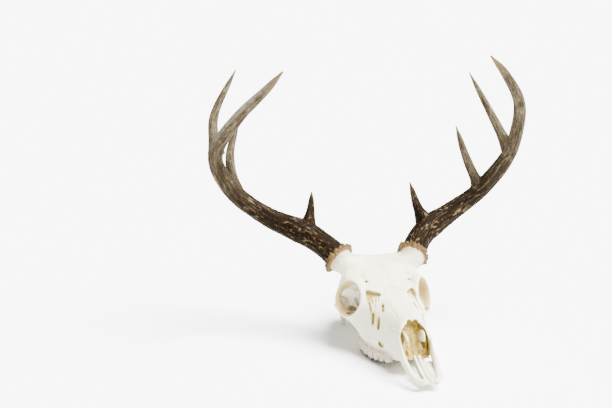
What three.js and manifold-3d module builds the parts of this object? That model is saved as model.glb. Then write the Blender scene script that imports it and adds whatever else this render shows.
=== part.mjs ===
// Whitetail deer skull without its lower jaw, with a pair of four-point antlers, life size.
// Millimetres. Each shape is written in the skull's own frame: x to the animal's left, y from the nose to
// the back of the head, z up from the plane of the chewing surfaces. The whole stands on its cheek teeth
// and on the two bony spurs behind them; at the end the group is moved so that its origin is the middle
// of its box at the level it stands on.
import * as THREE from "three";
import { mergeVertices } from "three/addons/utils/BufferGeometryUtils.js";
import Module from "manifold-3d";

const wasm = await Module();
wasm.setup();

const GAP = 0.3; // left between neighbouring solids
const FINE = 1.2; // detail smaller than this is dropped once the skull is joined
const NOSE = -165; // front of the skull

// ---------------------------------------------------------------- shaping helpers

// A closed geometry as a solid that can be joined and cut, its faces turned outwards.
function solid(geometry) {
  const bare = geometry.clone();
  bare.deleteAttribute("normal");
  bare.deleteAttribute("uv");
  const merged = mergeVertices(bare, 1e-3);
  const vertProperties = new Float32Array(merged.attributes.position.array);
  const triVerts = new Uint32Array(merged.index.array);
  const made = new wasm.Manifold(new wasm.Mesh({ numProp: 3, vertProperties, triVerts }));
  if (made.volume() > 0) return made;
  for (let i = 0; i < triVerts.length; i += 3) {
    [triVerts[i], triVerts[i + 1]] = [triVerts[i + 1], triVerts[i]];
  }
  return new wasm.Manifold(new wasm.Mesh({ numProp: 3, vertProperties, triVerts }));
}

const join = (...solids) => solids.flat().reduce((a, b) => a.add(b));

// The same solid on the animal's right.
const mirrored = (s) => s.mirror([1, 0, 0]);
const bothSides = (s) => [s, mirrored(s)];

// A capped cylinder whose rings are moved. The surface is asked for a point by the share of the way along,
// the angle, and the reach: 1 on the rim and 0 at the middle of a cap.
function ringed(rings, sides, surface) {
  const geometry = new THREE.CylinderGeometry(1, 1, 1, sides, rings - 1);
  const at = geometry.attributes.position;
  for (let i = 0; i < at.count; i++) {
    const reach = Math.hypot(at.getX(i), at.getZ(i));
    const point = surface(0.5 - at.getY(i), Math.atan2(at.getZ(i), at.getX(i)), Math.min(1, reach));
    at.setXYZ(i, point.x, point.y, point.z);
  }
  return solid(geometry);
}

// A value between the entries of a list, smooth from one to the next.
function between(list, share) {
  const place = share * (list.length - 1);
  const i = Math.min(Math.floor(place), list.length - 2);
  const t = place - i;
  const [a, b, c, d] = [list[i - 1] ?? list[i], list[i], list[i + 1], list[i + 2] ?? list[i + 1]];
  return b + 0.5 * t * (c - a + t * (2 * a - 5 * b + 4 * c - d + t * (3 * (b - c) + d - a)));
}

const power = (value, exponent) => Math.sign(value) * Math.abs(value) ** exponent;

// A body lofted from front to back through cross-sections that are rounded boxes: each has its place y, its
// half width and the height of its widest level, its top and bottom, and how square its roof and floor are.
function loft(sections, { sides = 20, rings = sections.length * 2 - 1, inset = 0 } = {}) {
  const at = (key, share) => between(sections.map((s) => s[key]), share);
  return ringed(rings, sides, (share, angle, reach) => {
    const up = Math.sin(angle) > 0;
    const corner = 2 / at(up ? "roof" : "floor", share);
    const mid = at("mid", share);
    const tall = up ? at("top", share) - inset - mid : mid - at("bottom", share) - inset;
    return new THREE.Vector3(
      reach * (at("half", share) - inset) * power(Math.cos(angle), corner),
      at("y", share),
      mid + reach * tall * power(Math.sin(angle), corner),
    );
  });
}

// A rod along a curve through a few points, with its half width and half height given along it. The height
// is measured towards "up" and the width across it.
function rod({ path, wide, high = wide, sides = 10, steps = 8, up = [0, 0, 1], ...ends }) {
  const { from = 0, to = 1, grow = 0 } = ends;
  const curve = new THREE.CatmullRomCurve3(path.map((p) => new THREE.Vector3(...p)), false, "centripetal");
  const upright = new THREE.Vector3(...up);
  return ringed(steps + 1, sides, (share, angle, reach) => {
    const place = from + share * (to - from);
    const middle = curve.getPointAt(place);
    const along = curve.getTangentAt(place);
    const side = new THREE.Vector3().crossVectors(along, upright).normalize();
    const rise = new THREE.Vector3().crossVectors(side, along);
    return middle
      .addScaledVector(side, reach * (between(wide, place) + grow) * Math.cos(angle))
      .addScaledVector(rise, reach * (between(high, place) + grow) * Math.sin(angle));
  });
}

// A ball pressed to three radii.
function ball(at, radii, { sides = 14, turn = [0, 0, 0] } = {}) {
  const geometry = new THREE.SphereGeometry(1, sides, Math.round(sides * 0.6));
  geometry.scale(...radii);
  geometry.applyMatrix4(new THREE.Matrix4().makeRotationFromEuler(new THREE.Euler(...turn)));
  return solid(geometry.translate(...at));
}

// A box between two corners.
function block(low, high, tight = 0) {
  const size = high.map((h, i) => h - low[i] - 2 * tight);
  const geometry = new THREE.BoxGeometry(...size);
  return solid(geometry.translate(...low.map((l, i) => (l + high[i]) / 2)));
}

// All that lies behind a slanting line in the side view, from a low (y, z) to a high one.
function behindLine([y0, z0], [y1, z1], shift = 0) {
  const slope = Math.atan2(y1 - y0, z1 - z0);
  const geometry = new THREE.BoxGeometry(400, 400, 400).translate(0, 200 + shift, 0);
  return solid(geometry.rotateX(-slope).translate(0, y0, z0));
}

// ---------------------------------------------------------------- the bones of the skull

// Snout, cheeks and forehead, from the nose opening back to the horn stems.
const FACE = [
  { y: -124, half: 17, mid: 22, top: 46, bottom: 13, roof: 2.6, floor: 3 },
  { y: -100, half: 20.5, mid: 33, top: 63, bottom: 13, roof: 2.7, floor: 3.4 },
  { y: -80, half: 24.5, mid: 34, top: 68, bottom: 11, roof: 2.4, floor: 4 },
  { y: -58, half: 31.5, mid: 34, top: 71.5, bottom: 9, roof: 2.2, floor: 4 },
  { y: -36, half: 39, mid: 38, top: 76, bottom: 9, roof: 2.2, floor: 3.6 },
  { y: -14, half: 44, mid: 48, top: 83, bottom: 11, roof: 2.4, floor: 2.8 },
  { y: 6, half: 36, mid: 58, top: 91, bottom: 24, roof: 2.8, floor: 2.0 },
  { y: 30, half: 30, mid: 62, top: 98, bottom: 30, roof: 3.0, floor: 2.0 },
  { y: 56, half: 32, mid: 60, top: 101, bottom: 26, roof: 2.6, floor: 2.2 },
];

// The frontal bone's roof over the eyes, thin at its edge and thick at the horn stems.
const BROW = [
  { y: -26, half: 28, mid: 73, top: 79, bottom: 64, roof: 2.0, floor: 1.6 },
  { y: -12, half: 42, mid: 79, top: 85, bottom: 70, roof: 2.1, floor: 1.5 },
  { y: 4, half: 50.5, mid: 84, top: 91, bottom: 74, roof: 2.3, floor: 1.3 },
  { y: 22, half: 50.5, mid: 86, top: 97, bottom: 76, roof: 2.4, floor: 1.3 },
  { y: 40, half: 46, mid: 88, top: 102, bottom: 76, roof: 2.4, floor: 1.6 },
  { y: 60, half: 31, mid: 85, top: 103, bottom: 70, roof: 2.2, floor: 2.0 },
];

const BRAINCASE = [
  { y: 44, half: 30, mid: 64, top: 100, bottom: 30, roof: 2.2, floor: 2.2 },
  { y: 62, half: 34, mid: 60, top: 100, bottom: 25, roof: 2.1, floor: 2.2 },
  { y: 80, half: 35, mid: 56, top: 94, bottom: 21, roof: 2.0, floor: 2.4 },
  { y: 97, half: 33, mid: 48, top: 85, bottom: 18, roof: 2.0, floor: 2.6 },
  { y: 110, half: 31, mid: 43, top: 77, bottom: 19, roof: 1.9, floor: 2.4 },
  { y: 117, half: 20, mid: 41, top: 62, bottom: 24, roof: 2.0, floor: 2.0 },
];

// The eye sockets look sideways and a little forwards.
const ORBIT = { x: 50.5, y: -1, z: 68, rim: 24.5, hole: 21, depth: 26, yaw: 0.5, lift: 0.25 };

// The gap in the side of the snout in front of each eye: three corners, and how deep it goes.
const WINDOW = { back: [31.5, -7, 78], inner: [17, -16, 79], front: [32.5, -48, 57], depth: 13 };

const HORN_STEM = { root: [27, 40, 88], wide: [20, 17.5, 16.5], straight: 9 };

const FORAMEN = { z: 37, radius: 10, depth: 22 };

// Where the nose opening is cut off, as two (y, z) points of its slope in the side view.
const NOSE_CUT = { low: [-121, 10], high: [-91, 68] };

// Turned so that its local z runs out of the socket.
function intoOrbit(geometry) {
  const { x, y, z, yaw, lift } = ORBIT;
  const out = new THREE.Vector3(Math.cos(yaw), -Math.sin(yaw), Math.tan(lift)).normalize();
  const back = new THREE.Vector3(Math.sin(yaw), Math.cos(yaw), 0);
  const up = new THREE.Vector3().crossVectors(out, back);
  return geometry.applyMatrix4(new THREE.Matrix4().makeBasis(back, up, out)).translate(x, y, z);
}

// A profile of (radius, height) points turned about the z axis.
function turned(profile) {
  const points = profile.map(([radius, height]) => new THREE.Vector2(radius, height));
  return new THREE.LatheGeometry(points, 12).rotateX(Math.PI / 2);
}

// The bone round the eye: a short wide tube that runs from inside the cheek to the rim.
function orbitTube() {
  const { rim, depth } = ORBIT;
  return solid(intoOrbit(turned([[0, -depth], [rim - 2, -depth], [rim + 1, -8], [rim, 0], [0, 0.5]])));
}

// The room for the eye, a cup that narrows inwards and to the back.
function orbitHollow() {
  const { hole, depth } = ORBIT;
  const profile = [[0, -depth - 8], [9, -depth - 4], [14, -depth + 7], [hole - 1, -8], [hole, 8], [0, 8]];
  const cup = turned(profile);
  const at = cup.attributes.position;
  for (let i = 0; i < at.count; i++) at.setX(i, at.getX(i) + 0.3 * Math.max(0, -at.getZ(i) - 4));
  return solid(intoOrbit(cup));
}

// The hollow behind the eye, which leaves a free bar of bone between the two.
function templeHollow() {
  return ball([46, 46, 62], [15, 30, 19], { sides: 10 });
}

function nasalHollow() {
  const throat = FACE.slice(0, 5).map((s, i) => ({ ...s, y: s.y - (i ? 0 : 12), bottom: 13, floor: 2.4 }));
  return loft(throat, { inset: 2.6, sides: 10, rings: 5 });
}

// A three-cornered prism with rounded corners, sunk square to the plane of its corners.
function windowHollow() {
  const { back, inner, front, depth } = WINDOW;
  const corners = [back, inner, front].map((p) => new THREE.Vector3(...p));
  const along = corners[1].clone().sub(corners[0]);
  const out = new THREE.Vector3().crossVectors(along, corners[2].clone().sub(corners[0])).normalize();
  along.normalize();
  const frame = new THREE.Matrix4().makeBasis(along, new THREE.Vector3().crossVectors(out, along), out);
  frame.setPosition(corners[0]);
  const toFlat = frame.clone().invert();
  const flat = corners.map((p) => p.applyMatrix4(toFlat)).map((p) => new THREE.Vector2(p.x, p.y));
  const outline = new THREE.Shape();
  flat.forEach((corner, i) => {
    const before = corner.clone().lerp(flat[(i + 2) % 3], 0.2);
    const after = corner.clone().lerp(flat[(i + 1) % 3], 0.2);
    if (i === 0) outline.moveTo(before.x, before.y);
    else outline.lineTo(before.x, before.y);
    outline.quadraticCurveTo(corner.x, corner.y, after.x, after.y);
  });
  const sunk = { depth: depth + 10, bevelEnabled: false, curveSegments: 3 };
  return solid(new THREE.ExtrudeGeometry(outline, sunk).translate(0, 0, -depth).applyMatrix4(frame));
}

// Small holes for nerves: one above each eye, one over the first cheek tooth, one in each ear.
const nerveHoles = () => [
  rod({ path: [[26, 30, 104], [22, 22, 84]], wide: [2.6, 2.2], sides: 5, steps: 1, up: [0, 1, 0] }),
  rod({ path: [[34, -76, 26], [24, -54, 28]], wide: [3.8, 3], high: [3.4, 2.8], sides: 6, steps: 1 }),
  rod({ path: [[50, 83, 41], [32, 90, 36]], wide: [3, 2.6], sides: 6, steps: 1 }),
];

// The thin cheek arch from under the eye back to the jaw joint.
const ARCH = {
  path: [
    [38, -26, 37], [45, -6, 42], [51.5, 16, 46], [51.5, 36, 46],
    [49, 54, 44], [44, 66, 42], [34, 74, 41],
  ],
  wide: [4, 4, 3.2, 2.6, 2.6, 3.4, 6],
  high: [13, 8, 5.5, 5, 4.5, 4.5, 6],
};

const cheekArch = () => rod({ ...ARCH, sides: 6, steps: 7 });
const jawJoint = () => ball([37, 71, 38], [12, 8, 4.5], { turn: [0.15, 0.1, 0], sides: 8 });
const earTube = () => rod({ path: [[27, 89, 36], [41.5, 86, 39]], wide: [9, 5.5], sides: 8, steps: 1 });
const mastoid = () =>
  rod({
    path: [[24, 109, 64], [31, 103, 46], [29, 104, 26]],
    wide: [4, 4.5, 6],
    high: [5, 6.5, 7],
    sides: 6,
    steps: 2,
    up: [0, 1, 0],
  });
const earBulb = () => ball([20, 88, 19], [8, 12, 10], { turn: [0, 0.2, -0.3], sides: 8 });
const neckKnuckle = () => ball([13, 116, 25], [8.5, 8.5, 12], { turn: [0.5, 0.35, 0], sides: 8 });
const nuchalRidge = () =>
  rod({
    path: [[-27, 108, 62], [-17, 113, 75], [0, 115, 79], [17, 113, 75], [27, 108, 62]],
    wide: [3, 4, 5, 4, 3],
    high: [3, 3, 3.5, 3, 3],
    sides: 5,
    steps: 4,
    up: [0, 1, 0],
  });
const throatPlate = () =>
  rod({
    path: [[14, -16, 24], [12, 6, 24], [10, 24, 24], [10, 34, 30]],
    wide: [2.4, 1.5, 1.4, 1.4],
    high: [10, 12, 10, 5],
    sides: 6,
    steps: 3,
  });
const skullBase = () =>
  rod({
    path: [[0, 2, 40], [0, 30, 31], [0, 70, 24], [0, 104, 20], [0, 114, 22]],
    wide: [8, 8, 9, 13, 12],
    high: [6, 5, 5, 5, 5],
    sides: 8,
    steps: 4,
  });

// The spur beside each neck knuckle, cut flat where it stands.
const SPUR = { path: [[29, 106, 34], [28, 105, 16], [26, 102, -3]], wide: [6, 4.5, 3.2], high: [8, 6, 4] };
const spur = () =>
  rod({ ...SPUR, sides: 8, steps: 3, up: [0, 1, 0] }).subtract(block([0, 80, -20], [60, 130, 0]));

// Cheek teeth from front to back: middle, length and width of each, and how far its foot is off the floor.
const TEETH = [
  { x: 21.5, y: -73, long: 8.5, wide: 7, foot: 5 },
  { x: 24.5, y: -63.5, long: 9.5, wide: 9, foot: 2 },
  { x: 27.3, y: -53.5, long: 9.5, wide: 11, foot: 0.5 },
  { x: 29.6, y: -41.8, long: 13, wide: 12.5, foot: 0 },
  { x: 31.5, y: -27.3, long: 14.5, wide: 13, foot: 0 },
  { x: 32.3, y: -12.5, long: 14, wide: 12, foot: 0 },
];
const CROWN = 17; // from the floor up into the jaw
const GROOVE = { narrow: 0.72, rise: 3 }; // between two teeth

// One body with a ring at both ends of each tooth, where it is flat, and one in the groove between two.
function toothRow() {
  const rings = TEETH.flatMap(({ long, ...tooth }) => {
    const end = (share) => ({ ...tooth, y: tooth.y + share * long });
    const waist = { wide: tooth.wide * GROOVE.narrow, foot: tooth.foot + GROOVE.rise };
    const groove = (share) => ({ ...end(share), ...waist });
    return [groove(-0.5), end(-0.36), end(0.36)];
  });
  rings.push({ ...rings.at(-1), y: rings.at(-1).y + 4, wide: 7, foot: 4 });
  return ringed(rings.length, 6, (share, angle, reach) => {
    const { x, y, wide, foot } = rings[Math.round(share * (rings.length - 1))];
    const turn = angle + Math.PI / 6; // so that two of the six corners are the edges of the foot
    const across = power(Math.cos(turn), 0.5) * 0.5 * wide * (1 + 0.12 * Math.sin(turn));
    const tall = 0.62 * (CROWN - foot) * power(Math.sin(turn), 0.5);
    return new THREE.Vector3(x + reach * across, y, Math.max(foot, (foot + CROWN) / 2 + reach * tall));
  });
}

function wholeSkull() {
  const shell = join(
    loft(FACE, { sides: 16, rings: 10 }).intersect(behindLine(NOSE_CUT.low, NOSE_CUT.high)),
    loft(BROW, { sides: 14, rings: 7 }),
    loft(BRAINCASE, { sides: 12, rings: 6 }),
    bothSides(orbitTube()),
    hornStem("left"),
    hornStem("right"),
  );
  const open = shell.subtract(
    join(bothSides(join(orbitHollow(), templeHollow(), windowHollow())), nasalHollow()),
  );
  const fitted = join(
    open,
    bothSides(join(cheekArch(), jawJoint(), earTube(), mastoid(), earBulb(), neckKnuckle())),
    bothSides(join(throatPlate(), spur(), toothRow())),
    nuchalRidge(),
    skullBase(),
  );
  const neckHole = rod({
    path: [[0, 108 - FORAMEN.depth, FORAMEN.z], [0, 130, FORAMEN.z - 4]],
    wide: [FORAMEN.radius * 0.8, FORAMEN.radius],
    sides: 10,
    steps: 1,
  });
  return fitted.subtract(join(neckHole, nerveHoles().map(bothSides).flat())).simplify(FINE);
}

// ---------------------------------------------------------------- the nose bones at the tip of the snout

const PREMAXILLA = {
  bar: {
    path: [
      [19.6, -90, 45],
      [18.8, -106, 33],
      [17.5, -124, 22],
      [15.6, -141, 15.5],
      [11.8, -155, 12],
      [5.4, NOSE + 4, 11],
    ],
    wide: [2.4, 2.8, 4.2, 4.8, 5, 4.6],
    high: [12, 11, 8.5, 5, 3.8, 3.2],
    sides: 8,
    steps: 10,
  },
  spine: {
    path: [[3.4, -160, 11], [3.6, -142, 12.5], [3.6, -118, 15], [3.2, -98, 17]],
    wide: [3, 2.8, 2.4, 1.6],
    high: [2.4, 2.2, 2, 1.6],
    sides: 6,
    steps: 4,
  },
};

const premaxilla = () =>
  join(rod(PREMAXILLA.bar), rod(PREMAXILLA.spine))
    .subtract(block([-40, NOSE - 20, 0], [GAP / 2, -60, 80]))
    .subtract(behindLine(NOSE_CUT.low, NOSE_CUT.high, -GAP));

// ---------------------------------------------------------------- parting the skull along its seams

// The region of each bone, cut off in this order. Pairs name the left and the right one.
const midline = GAP / 2;
const LAST_TEETH = [[19, -40, -5], [60, -1, 34]];
const REGIONS = [
  { name: "nasal", pair: true, boxes: [[[midline, -130, 46], [12.5, -18, 110]]] },
  { name: "maxilla", pair: true, boxes: [[[midline, -140, -5], [60, -18, 78]], LAST_TEETH] },
  { name: "occipital", boxes: [[[-60, 97, -5], [60, 140, 34]], [[-60, 99, 20], [60, 140, 120]]] },
  { name: "ear_bulb", pair: true, boxes: [[[11, 60, -5], [60, 97, 27]]] },
  { name: "braincase", boxes: [[[-60, 61, 27], [60, 99, 120]]] },
  { name: "eye_socket", pair: true, boxes: [[[33, -18, 50], [80, 61, 82]]] },
  { name: "cheekbone", pair: true, boxes: [[[33, -18, 34], [80, 97, 50]]] },
  { name: "frontal", boxes: [[[-80, -40, 66], [80, 61, 140]]] },
  { name: "skull_base", boxes: [[[-60, -18, -5], [60, 99, 66]]] },
];

const largest = (s) => s.decompose().reduce((a, b) => (b.volume() > a.volume() ? b : a));

function partedSkull() {
  let rest = wholeSkull();
  const bones = [];
  for (const { name, pair, boxes } of REGIONS) {
    const region = join(boxes.map(([low, high]) => block(low, high)));
    const within = join(boxes.map(([low, high]) => block(low, high, GAP / 2)));
    const sides = pair ? { _left: (s) => s, _right: mirrored } : { "": (s) => s };
    for (const [suffix, toSide] of Object.entries(sides)) {
      bones.push([name + suffix, largest(rest.intersect(toSide(within)))]);
      rest = rest.subtract(toSide(region));
    }
  }
  const nose = premaxilla();
  return [...bones, ["premaxilla_left", nose], ["premaxilla_right", mirrored(nose)]];
}

// ---------------------------------------------------------------- antlers

// Middle line of each main beam, from the burr to the tip, and of its three tines.
const BEAM_RADIUS = [16.5, 16.3, 16.6, 13.6, 11.8, 11.4, 11, 9.6, 9, 8.2, 7.2, 6, 4.4, 1.4];
const ANTLERS = {
  left: {
    beam: [
      [49.5, 51.5, 105.5], [64.5, 71.5, 119.5], [84, 88, 132], [127, 109, 150], [165, 113, 175],
      [193, 97, 218], [199, 85, 244], [193, 59, 298], [161, 33, 339], [125, 2, 367],
    ],
    brow: [[84, 90, 132], [71, 95, 158], [58, 95, 194]],
    second: [[166, 113, 177], [149, 126, 219], [138, 140, 260]],
    third: [[197, 91, 232], [178, 100, 270], [149, 128, 334]],
  },
  right: {
    beam: [
      [-49.5, 51.5, 105.5], [-64.5, 71.5, 119.5], [-83, 88, 131], [-130, 109, 151], [-173, 113, 183],
      [-200, 99, 224], [-201, 88, 246], [-179, 61, 289], [-152, 31, 325], [-140, -6, 351],
    ],
    brow: [[-83, 90, 131], [-77, 95, 158], [-75.5, 95, 186]],
    second: [[-173, 114, 184], [-177, 126, 231], [-163, 140, 274]],
    third: [[-201, 92, 238], [-202, 108, 280], [-169.5, 128, 341]],
  },
};
const TINE_RADII = {
  brow: [14, 7, 5.2, 4, 2.8, 0.9],
  second: [12, 7.2, 6.2, 5.2, 3.8, 1],
  third: [11, 7, 5.8, 4.8, 3.4, 1],
};
const BEAM_SPLITS = [0.018, 0.36, 0.53, 1]; // in the burr's top, and below the second and third tines
const BEAM_NAMES = ["lower_beam", "middle_beam", "upper_beam"];
const BEAM_STEPS = [7, 4, 9];
const BURR = { radius: 21.5, thick: 8.5, bumps: 8, bump: 1.4 };

const beam = (points, more) =>
  rod({ path: points, wide: BEAM_RADIUS, sides: 10, up: [0.3, 1, -0.4], ...more });

// Where an antler leaves its horn stem, and which way.
function antlerFoot(side) {
  const [foot, next] = ANTLERS[side].beam.slice(0, 2).map((p) => new THREE.Vector3(...p));
  return { foot, out: next.sub(foot).normalize() };
}

// The stem that carries an antler: it ends square to the antler, just short of it.
function hornStem(side) {
  const { foot, out } = antlerFoot(side);
  const { root, wide, straight } = HORN_STEM;
  const start = new THREE.Vector3(Math.sign(foot.x) * root[0], root[1], root[2]);
  const along = (reach) => foot.clone().addScaledVector(out, -reach).toArray();
  const path = [start.toArray(), along(straight), along(GAP)];
  return rod({ path, wide, sides: 10, steps: 3, up: [0, 1, 0] });
}

// The knobbly ring of bone at the foot of an antler, square to the beam.
function burr(side, grow = 0) {
  const { foot, out } = antlerFoot(side);
  const turn = new THREE.Quaternion().setFromUnitVectors(new THREE.Vector3(0, 1, 0), out);
  return ringed(4, 2 * BURR.bumps, (share, angle, reach) => {
    const round = Math.sin(Math.PI * (0.2 + 0.6 * share));
    const radius = BURR.radius * (0.62 + 0.38 * round) + BURR.bump * Math.cos(BURR.bumps * angle) + grow;
    const rise = BURR.thick * share + grow * (2 * share - 1);
    const far = reach * radius;
    const local = new THREE.Vector3(far * Math.cos(angle), rise, far * Math.sin(angle));
    return local.applyQuaternion(turn).add(foot);
  });
}

function antler(side) {
  const { beam: points, ...tines } = ANTLERS[side];
  const half = GAP / 600; // half of the gap between two beam pieces, as a share of the beam's length
  const part = (i, grow) =>
    beam(points, {
      steps: BEAM_STEPS[i],
      from: BEAM_SPLITS[i] + half,
      to: BEAM_SPLITS[i + 1] - half,
      grow,
    });
  const around = join(BEAM_NAMES.map((_, i) => part(i, GAP)));
  const pieces = [["burr_" + side, burr(side)]];
  BEAM_NAMES.forEach((name, i) => {
    pieces.push([name + "_" + side, largest(i ? part(i) : part(i).subtract(burr(side, GAP)))]);
  });
  for (const [name, path] of Object.entries(tines)) {
    const tine = rod({ path, wide: TINE_RADII[name], sides: 8, steps: 5, up: [0.2, 1, 0] });
    pieces.push([name + "_tine_" + side, largest(tine.subtract(around))]);
  }
  return pieces;
}

// ---------------------------------------------------------------- assembly

const BONE = { color: 0xf1efe4, roughness: 0.62, metalness: 0 };
const HORN = { color: 0x6b5638, roughness: 0.55, metalness: 0 };

function meshOf([name, body], look) {
  const { vertProperties, triVerts, numProp } = body.simplify(0.02).getMesh();
  const geometry = new THREE.BufferGeometry()
    .setAttribute("position", new THREE.BufferAttribute(vertProperties, numProp))
    .setIndex(new THREE.BufferAttribute(triVerts, 1));
  geometry.computeVertexNormals();
  const mesh = new THREE.Mesh(geometry, new THREE.MeshStandardMaterial(look));
  mesh.name = name;
  return mesh;
}

const skull = new THREE.Group();
for (const bone of partedSkull()) skull.add(meshOf(bone, BONE));
for (const piece of [...antler("left"), ...antler("right")]) skull.add(meshOf(piece, HORN));

const bounds = new THREE.Box3().setFromObject(skull);
const middle = bounds.getCenter(new THREE.Vector3());
skull.position.set(-middle.x, -middle.y, -bounds.min.z);

export default skull;
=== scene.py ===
import math

import bmesh
import bpy
import numpy as np
from mathutils import Euler, Matrix, Vector


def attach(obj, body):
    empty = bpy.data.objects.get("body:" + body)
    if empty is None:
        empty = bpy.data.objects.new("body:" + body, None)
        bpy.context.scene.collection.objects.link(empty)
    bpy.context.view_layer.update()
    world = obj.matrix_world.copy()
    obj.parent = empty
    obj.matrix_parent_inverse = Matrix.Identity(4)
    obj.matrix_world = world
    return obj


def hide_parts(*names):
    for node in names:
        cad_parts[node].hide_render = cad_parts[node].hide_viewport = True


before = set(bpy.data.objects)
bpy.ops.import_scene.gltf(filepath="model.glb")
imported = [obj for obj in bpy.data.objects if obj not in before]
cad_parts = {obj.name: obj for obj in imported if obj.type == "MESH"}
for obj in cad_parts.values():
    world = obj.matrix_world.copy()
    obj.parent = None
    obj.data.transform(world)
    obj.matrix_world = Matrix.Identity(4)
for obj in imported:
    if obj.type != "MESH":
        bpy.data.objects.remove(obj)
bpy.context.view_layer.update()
scene = bpy.context.scene

# Shapes are written in millimetres in the skull's own frame: x to the animal's left, y from the nose
# to the back of the head, z up from the chewing surfaces. Each finished piece is moved to the row frame.
skullShift = Vector((1.735, 11.71, 0))
toRow = Matrix.Scale(0.001, 4) @ Matrix.Translation(skullShift)

print("stage 1: camera")

camera = {"azimuth": -14.7, "elevation": 12.0, "roll": 0.9, "lens": 70.588, "distance": 1507.0,
          "target": (-94.7, 50.0, 179.0)}
az, el, roll = (math.radians(camera[key]) for key in ("azimuth", "elevation", "roll"))
backward = Vector((math.sin(az) * math.cos(el), -math.cos(az) * math.cos(el), math.sin(el)))
across = Vector((math.cos(az), math.sin(az), 0))
upward = backward.cross(across)
right = across * math.cos(roll) + upward * math.sin(roll)
top = upward * math.cos(roll) - across * math.sin(roll)
eye = toRow @ (Vector(camera["target"]) + backward * camera["distance"])
cameraData = bpy.data.cameras.new("camera")
cameraData.lens = camera["lens"]
cameraData.sensor_width = 36.0
cameraData.clip_end = 100.0
cameraObject = bpy.data.objects.new("camera", cameraData)
cameraObject.matrix_world = Matrix.Translation(eye) @ Matrix((right, top, backward)).transposed().to_4x4()
scene.collection.objects.link(cameraObject)
scene.camera = cameraObject


# Helpers that make and change meshes.

def newObject(name, bm):
    mesh = bpy.data.meshes.new(name)
    bm.to_mesh(mesh)
    bm.free()
    obj = bpy.data.objects.new(name, mesh)
    scene.collection.objects.link(obj)
    return obj


def between(values, share):
    # a value between the entries of a list, smooth from one to the next
    place = min(max(share, 0.0), 1.0) * (len(values) - 1)
    i = min(int(place), len(values) - 2)
    t = place - i
    a, b, c, d = values[max(i - 1, 0)], values[i], values[i + 1], values[min(i + 2, len(values) - 1)]
    return b + 0.5 * t * (c - a + t * (2 * a - 5 * b + 4 * c - d + t * (3 * (b - c) + d - a)))


def power(value, exponent):
    return math.copysign(abs(value) ** exponent, value)


def smoothPath(points, count, start=0.0):
    # places at even steps along a centripetal curve through the points
    p = [Vector(q) for q in points]
    p = [2 * p[0] - p[1]] + p + [2 * p[-1] - p[-2]]
    fine = []
    for a, b, c, d in zip(p, p[1:], p[2:], p[3:]):
        ta, tb, tc = (math.sqrt((n - m).length) for m, n in ((a, b), (b, c), (c, d)))
        leave = ((b - a) / ta - (c - a) / (ta + tb) + (c - b) / tb) * tb
        arrive = ((c - b) / tb - (d - b) / (tb + tc) + (d - c) / tc) * tb
        for step in range(32):
            t = step / 32
            fine.append(b + t * leave + t * t * (3 * (c - b) - 2 * leave - arrive)
                        + t ** 3 * (2 * (b - c) + leave + arrive))
    fine.append(p[-2])
    fine = np.array(fine)
    reached = np.concatenate([[0], np.cumsum(np.linalg.norm(np.diff(fine, axis=0), axis=1))])
    wanted = np.linspace(start, 1, count) * reached[-1]
    return [Vector(q) for q in np.stack([np.interp(wanted, reached, fine[:, k]) for k in range(3)], axis=1)]


def rolled(rings, sides, surface):
    # a closed body: a grid rolled into a tube and filled at both ends
    bm = bmesh.new()
    bmesh.ops.create_grid(bm, x_segments=sides, y_segments=rings - 1, size=0.5)
    for v in bm.verts:
        v.co = surface(v.co.y + 0.5, 2 * math.pi * (v.co.x + 0.5))
    bmesh.ops.remove_doubles(bm, verts=bm.verts, dist=1e-3)
    bmesh.ops.holes_fill(bm, edges=bm.edges, sides=0)
    bmesh.ops.recalc_face_normals(bm, faces=bm.faces)
    return newObject("shell", bm)


def lofted(sections, sides, rings, inset=0.0):
    # sections are (y, half width, widest level, top, bottom, squareness of roof, squareness of floor)
    columns = list(zip(*sections))

    def surface(share, angle):
        y, half, mid, high, low, roof, floor = (between(column, share) for column in columns)
        rising = math.sin(angle) > 0
        corner = 2 / (roof if rising else floor)
        tall = high - inset - mid if rising else mid - low - inset
        return Vector(((half - inset) * power(math.cos(angle), corner), y,
                       mid + tall * power(math.sin(angle), corner)))

    return rolled(rings, sides, surface)


def rod(path, wide, high=None, sides=24, rings=32, up=(0, 0, 1)):
    # a tube along a curve, wide and high at even steps along it
    middle = smoothPath(path, rings)
    high = high or wide

    def surface(share, angle):
        i = round(share * (rings - 1))
        along = (middle[min(i + 1, rings - 1)] - middle[max(i - 1, 0)]).normalized()
        side = along.cross(Vector(up)).normalized()
        return (middle[i] + side * between(wide, share) * math.cos(angle)
                + side.cross(along) * between(high, share) * math.sin(angle))

    return rolled(rings, sides, surface)


def ball(at, radii, turn=(0, 0, 0), fine=28):
    bm = bmesh.new()
    place = Matrix.Translation(at) @ Euler(turn).to_matrix().to_4x4() @ Matrix.Diagonal((*radii, 1))
    bmesh.ops.create_uvsphere(bm, u_segments=fine, v_segments=fine // 2, radius=1, matrix=place)
    return newObject("shell", bm)


def mirrored(obj):
    bm = bmesh.new()
    bm.from_mesh(obj.data)
    bmesh.ops.scale(bm, vec=(-1, 1, 1), verts=bm.verts)
    bmesh.ops.reverse_faces(bm, faces=bm.faces)
    return newObject(obj.name, bm)


def bothSides(obj):
    return [obj, mirrored(obj)]


def freeze(obj):
    # makes the modifiers' result the object's own mesh
    bpy.context.view_layer.update()
    ready = obj.evaluated_get(bpy.context.evaluated_depsgraph_get())
    mesh = bpy.data.meshes.new_from_object(ready)
    obj.modifiers.clear()
    obj.data = mesh
    return obj


def carve(obj, others, operation="DIFFERENCE"):
    for other in others:
        step = obj.modifiers.new("carve", "BOOLEAN")
        step.solver = "MANIFOLD"
        step.operation = operation
        step.object = other
    freeze(obj)
    for other in others:
        bpy.data.objects.remove(other)
    return obj


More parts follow.
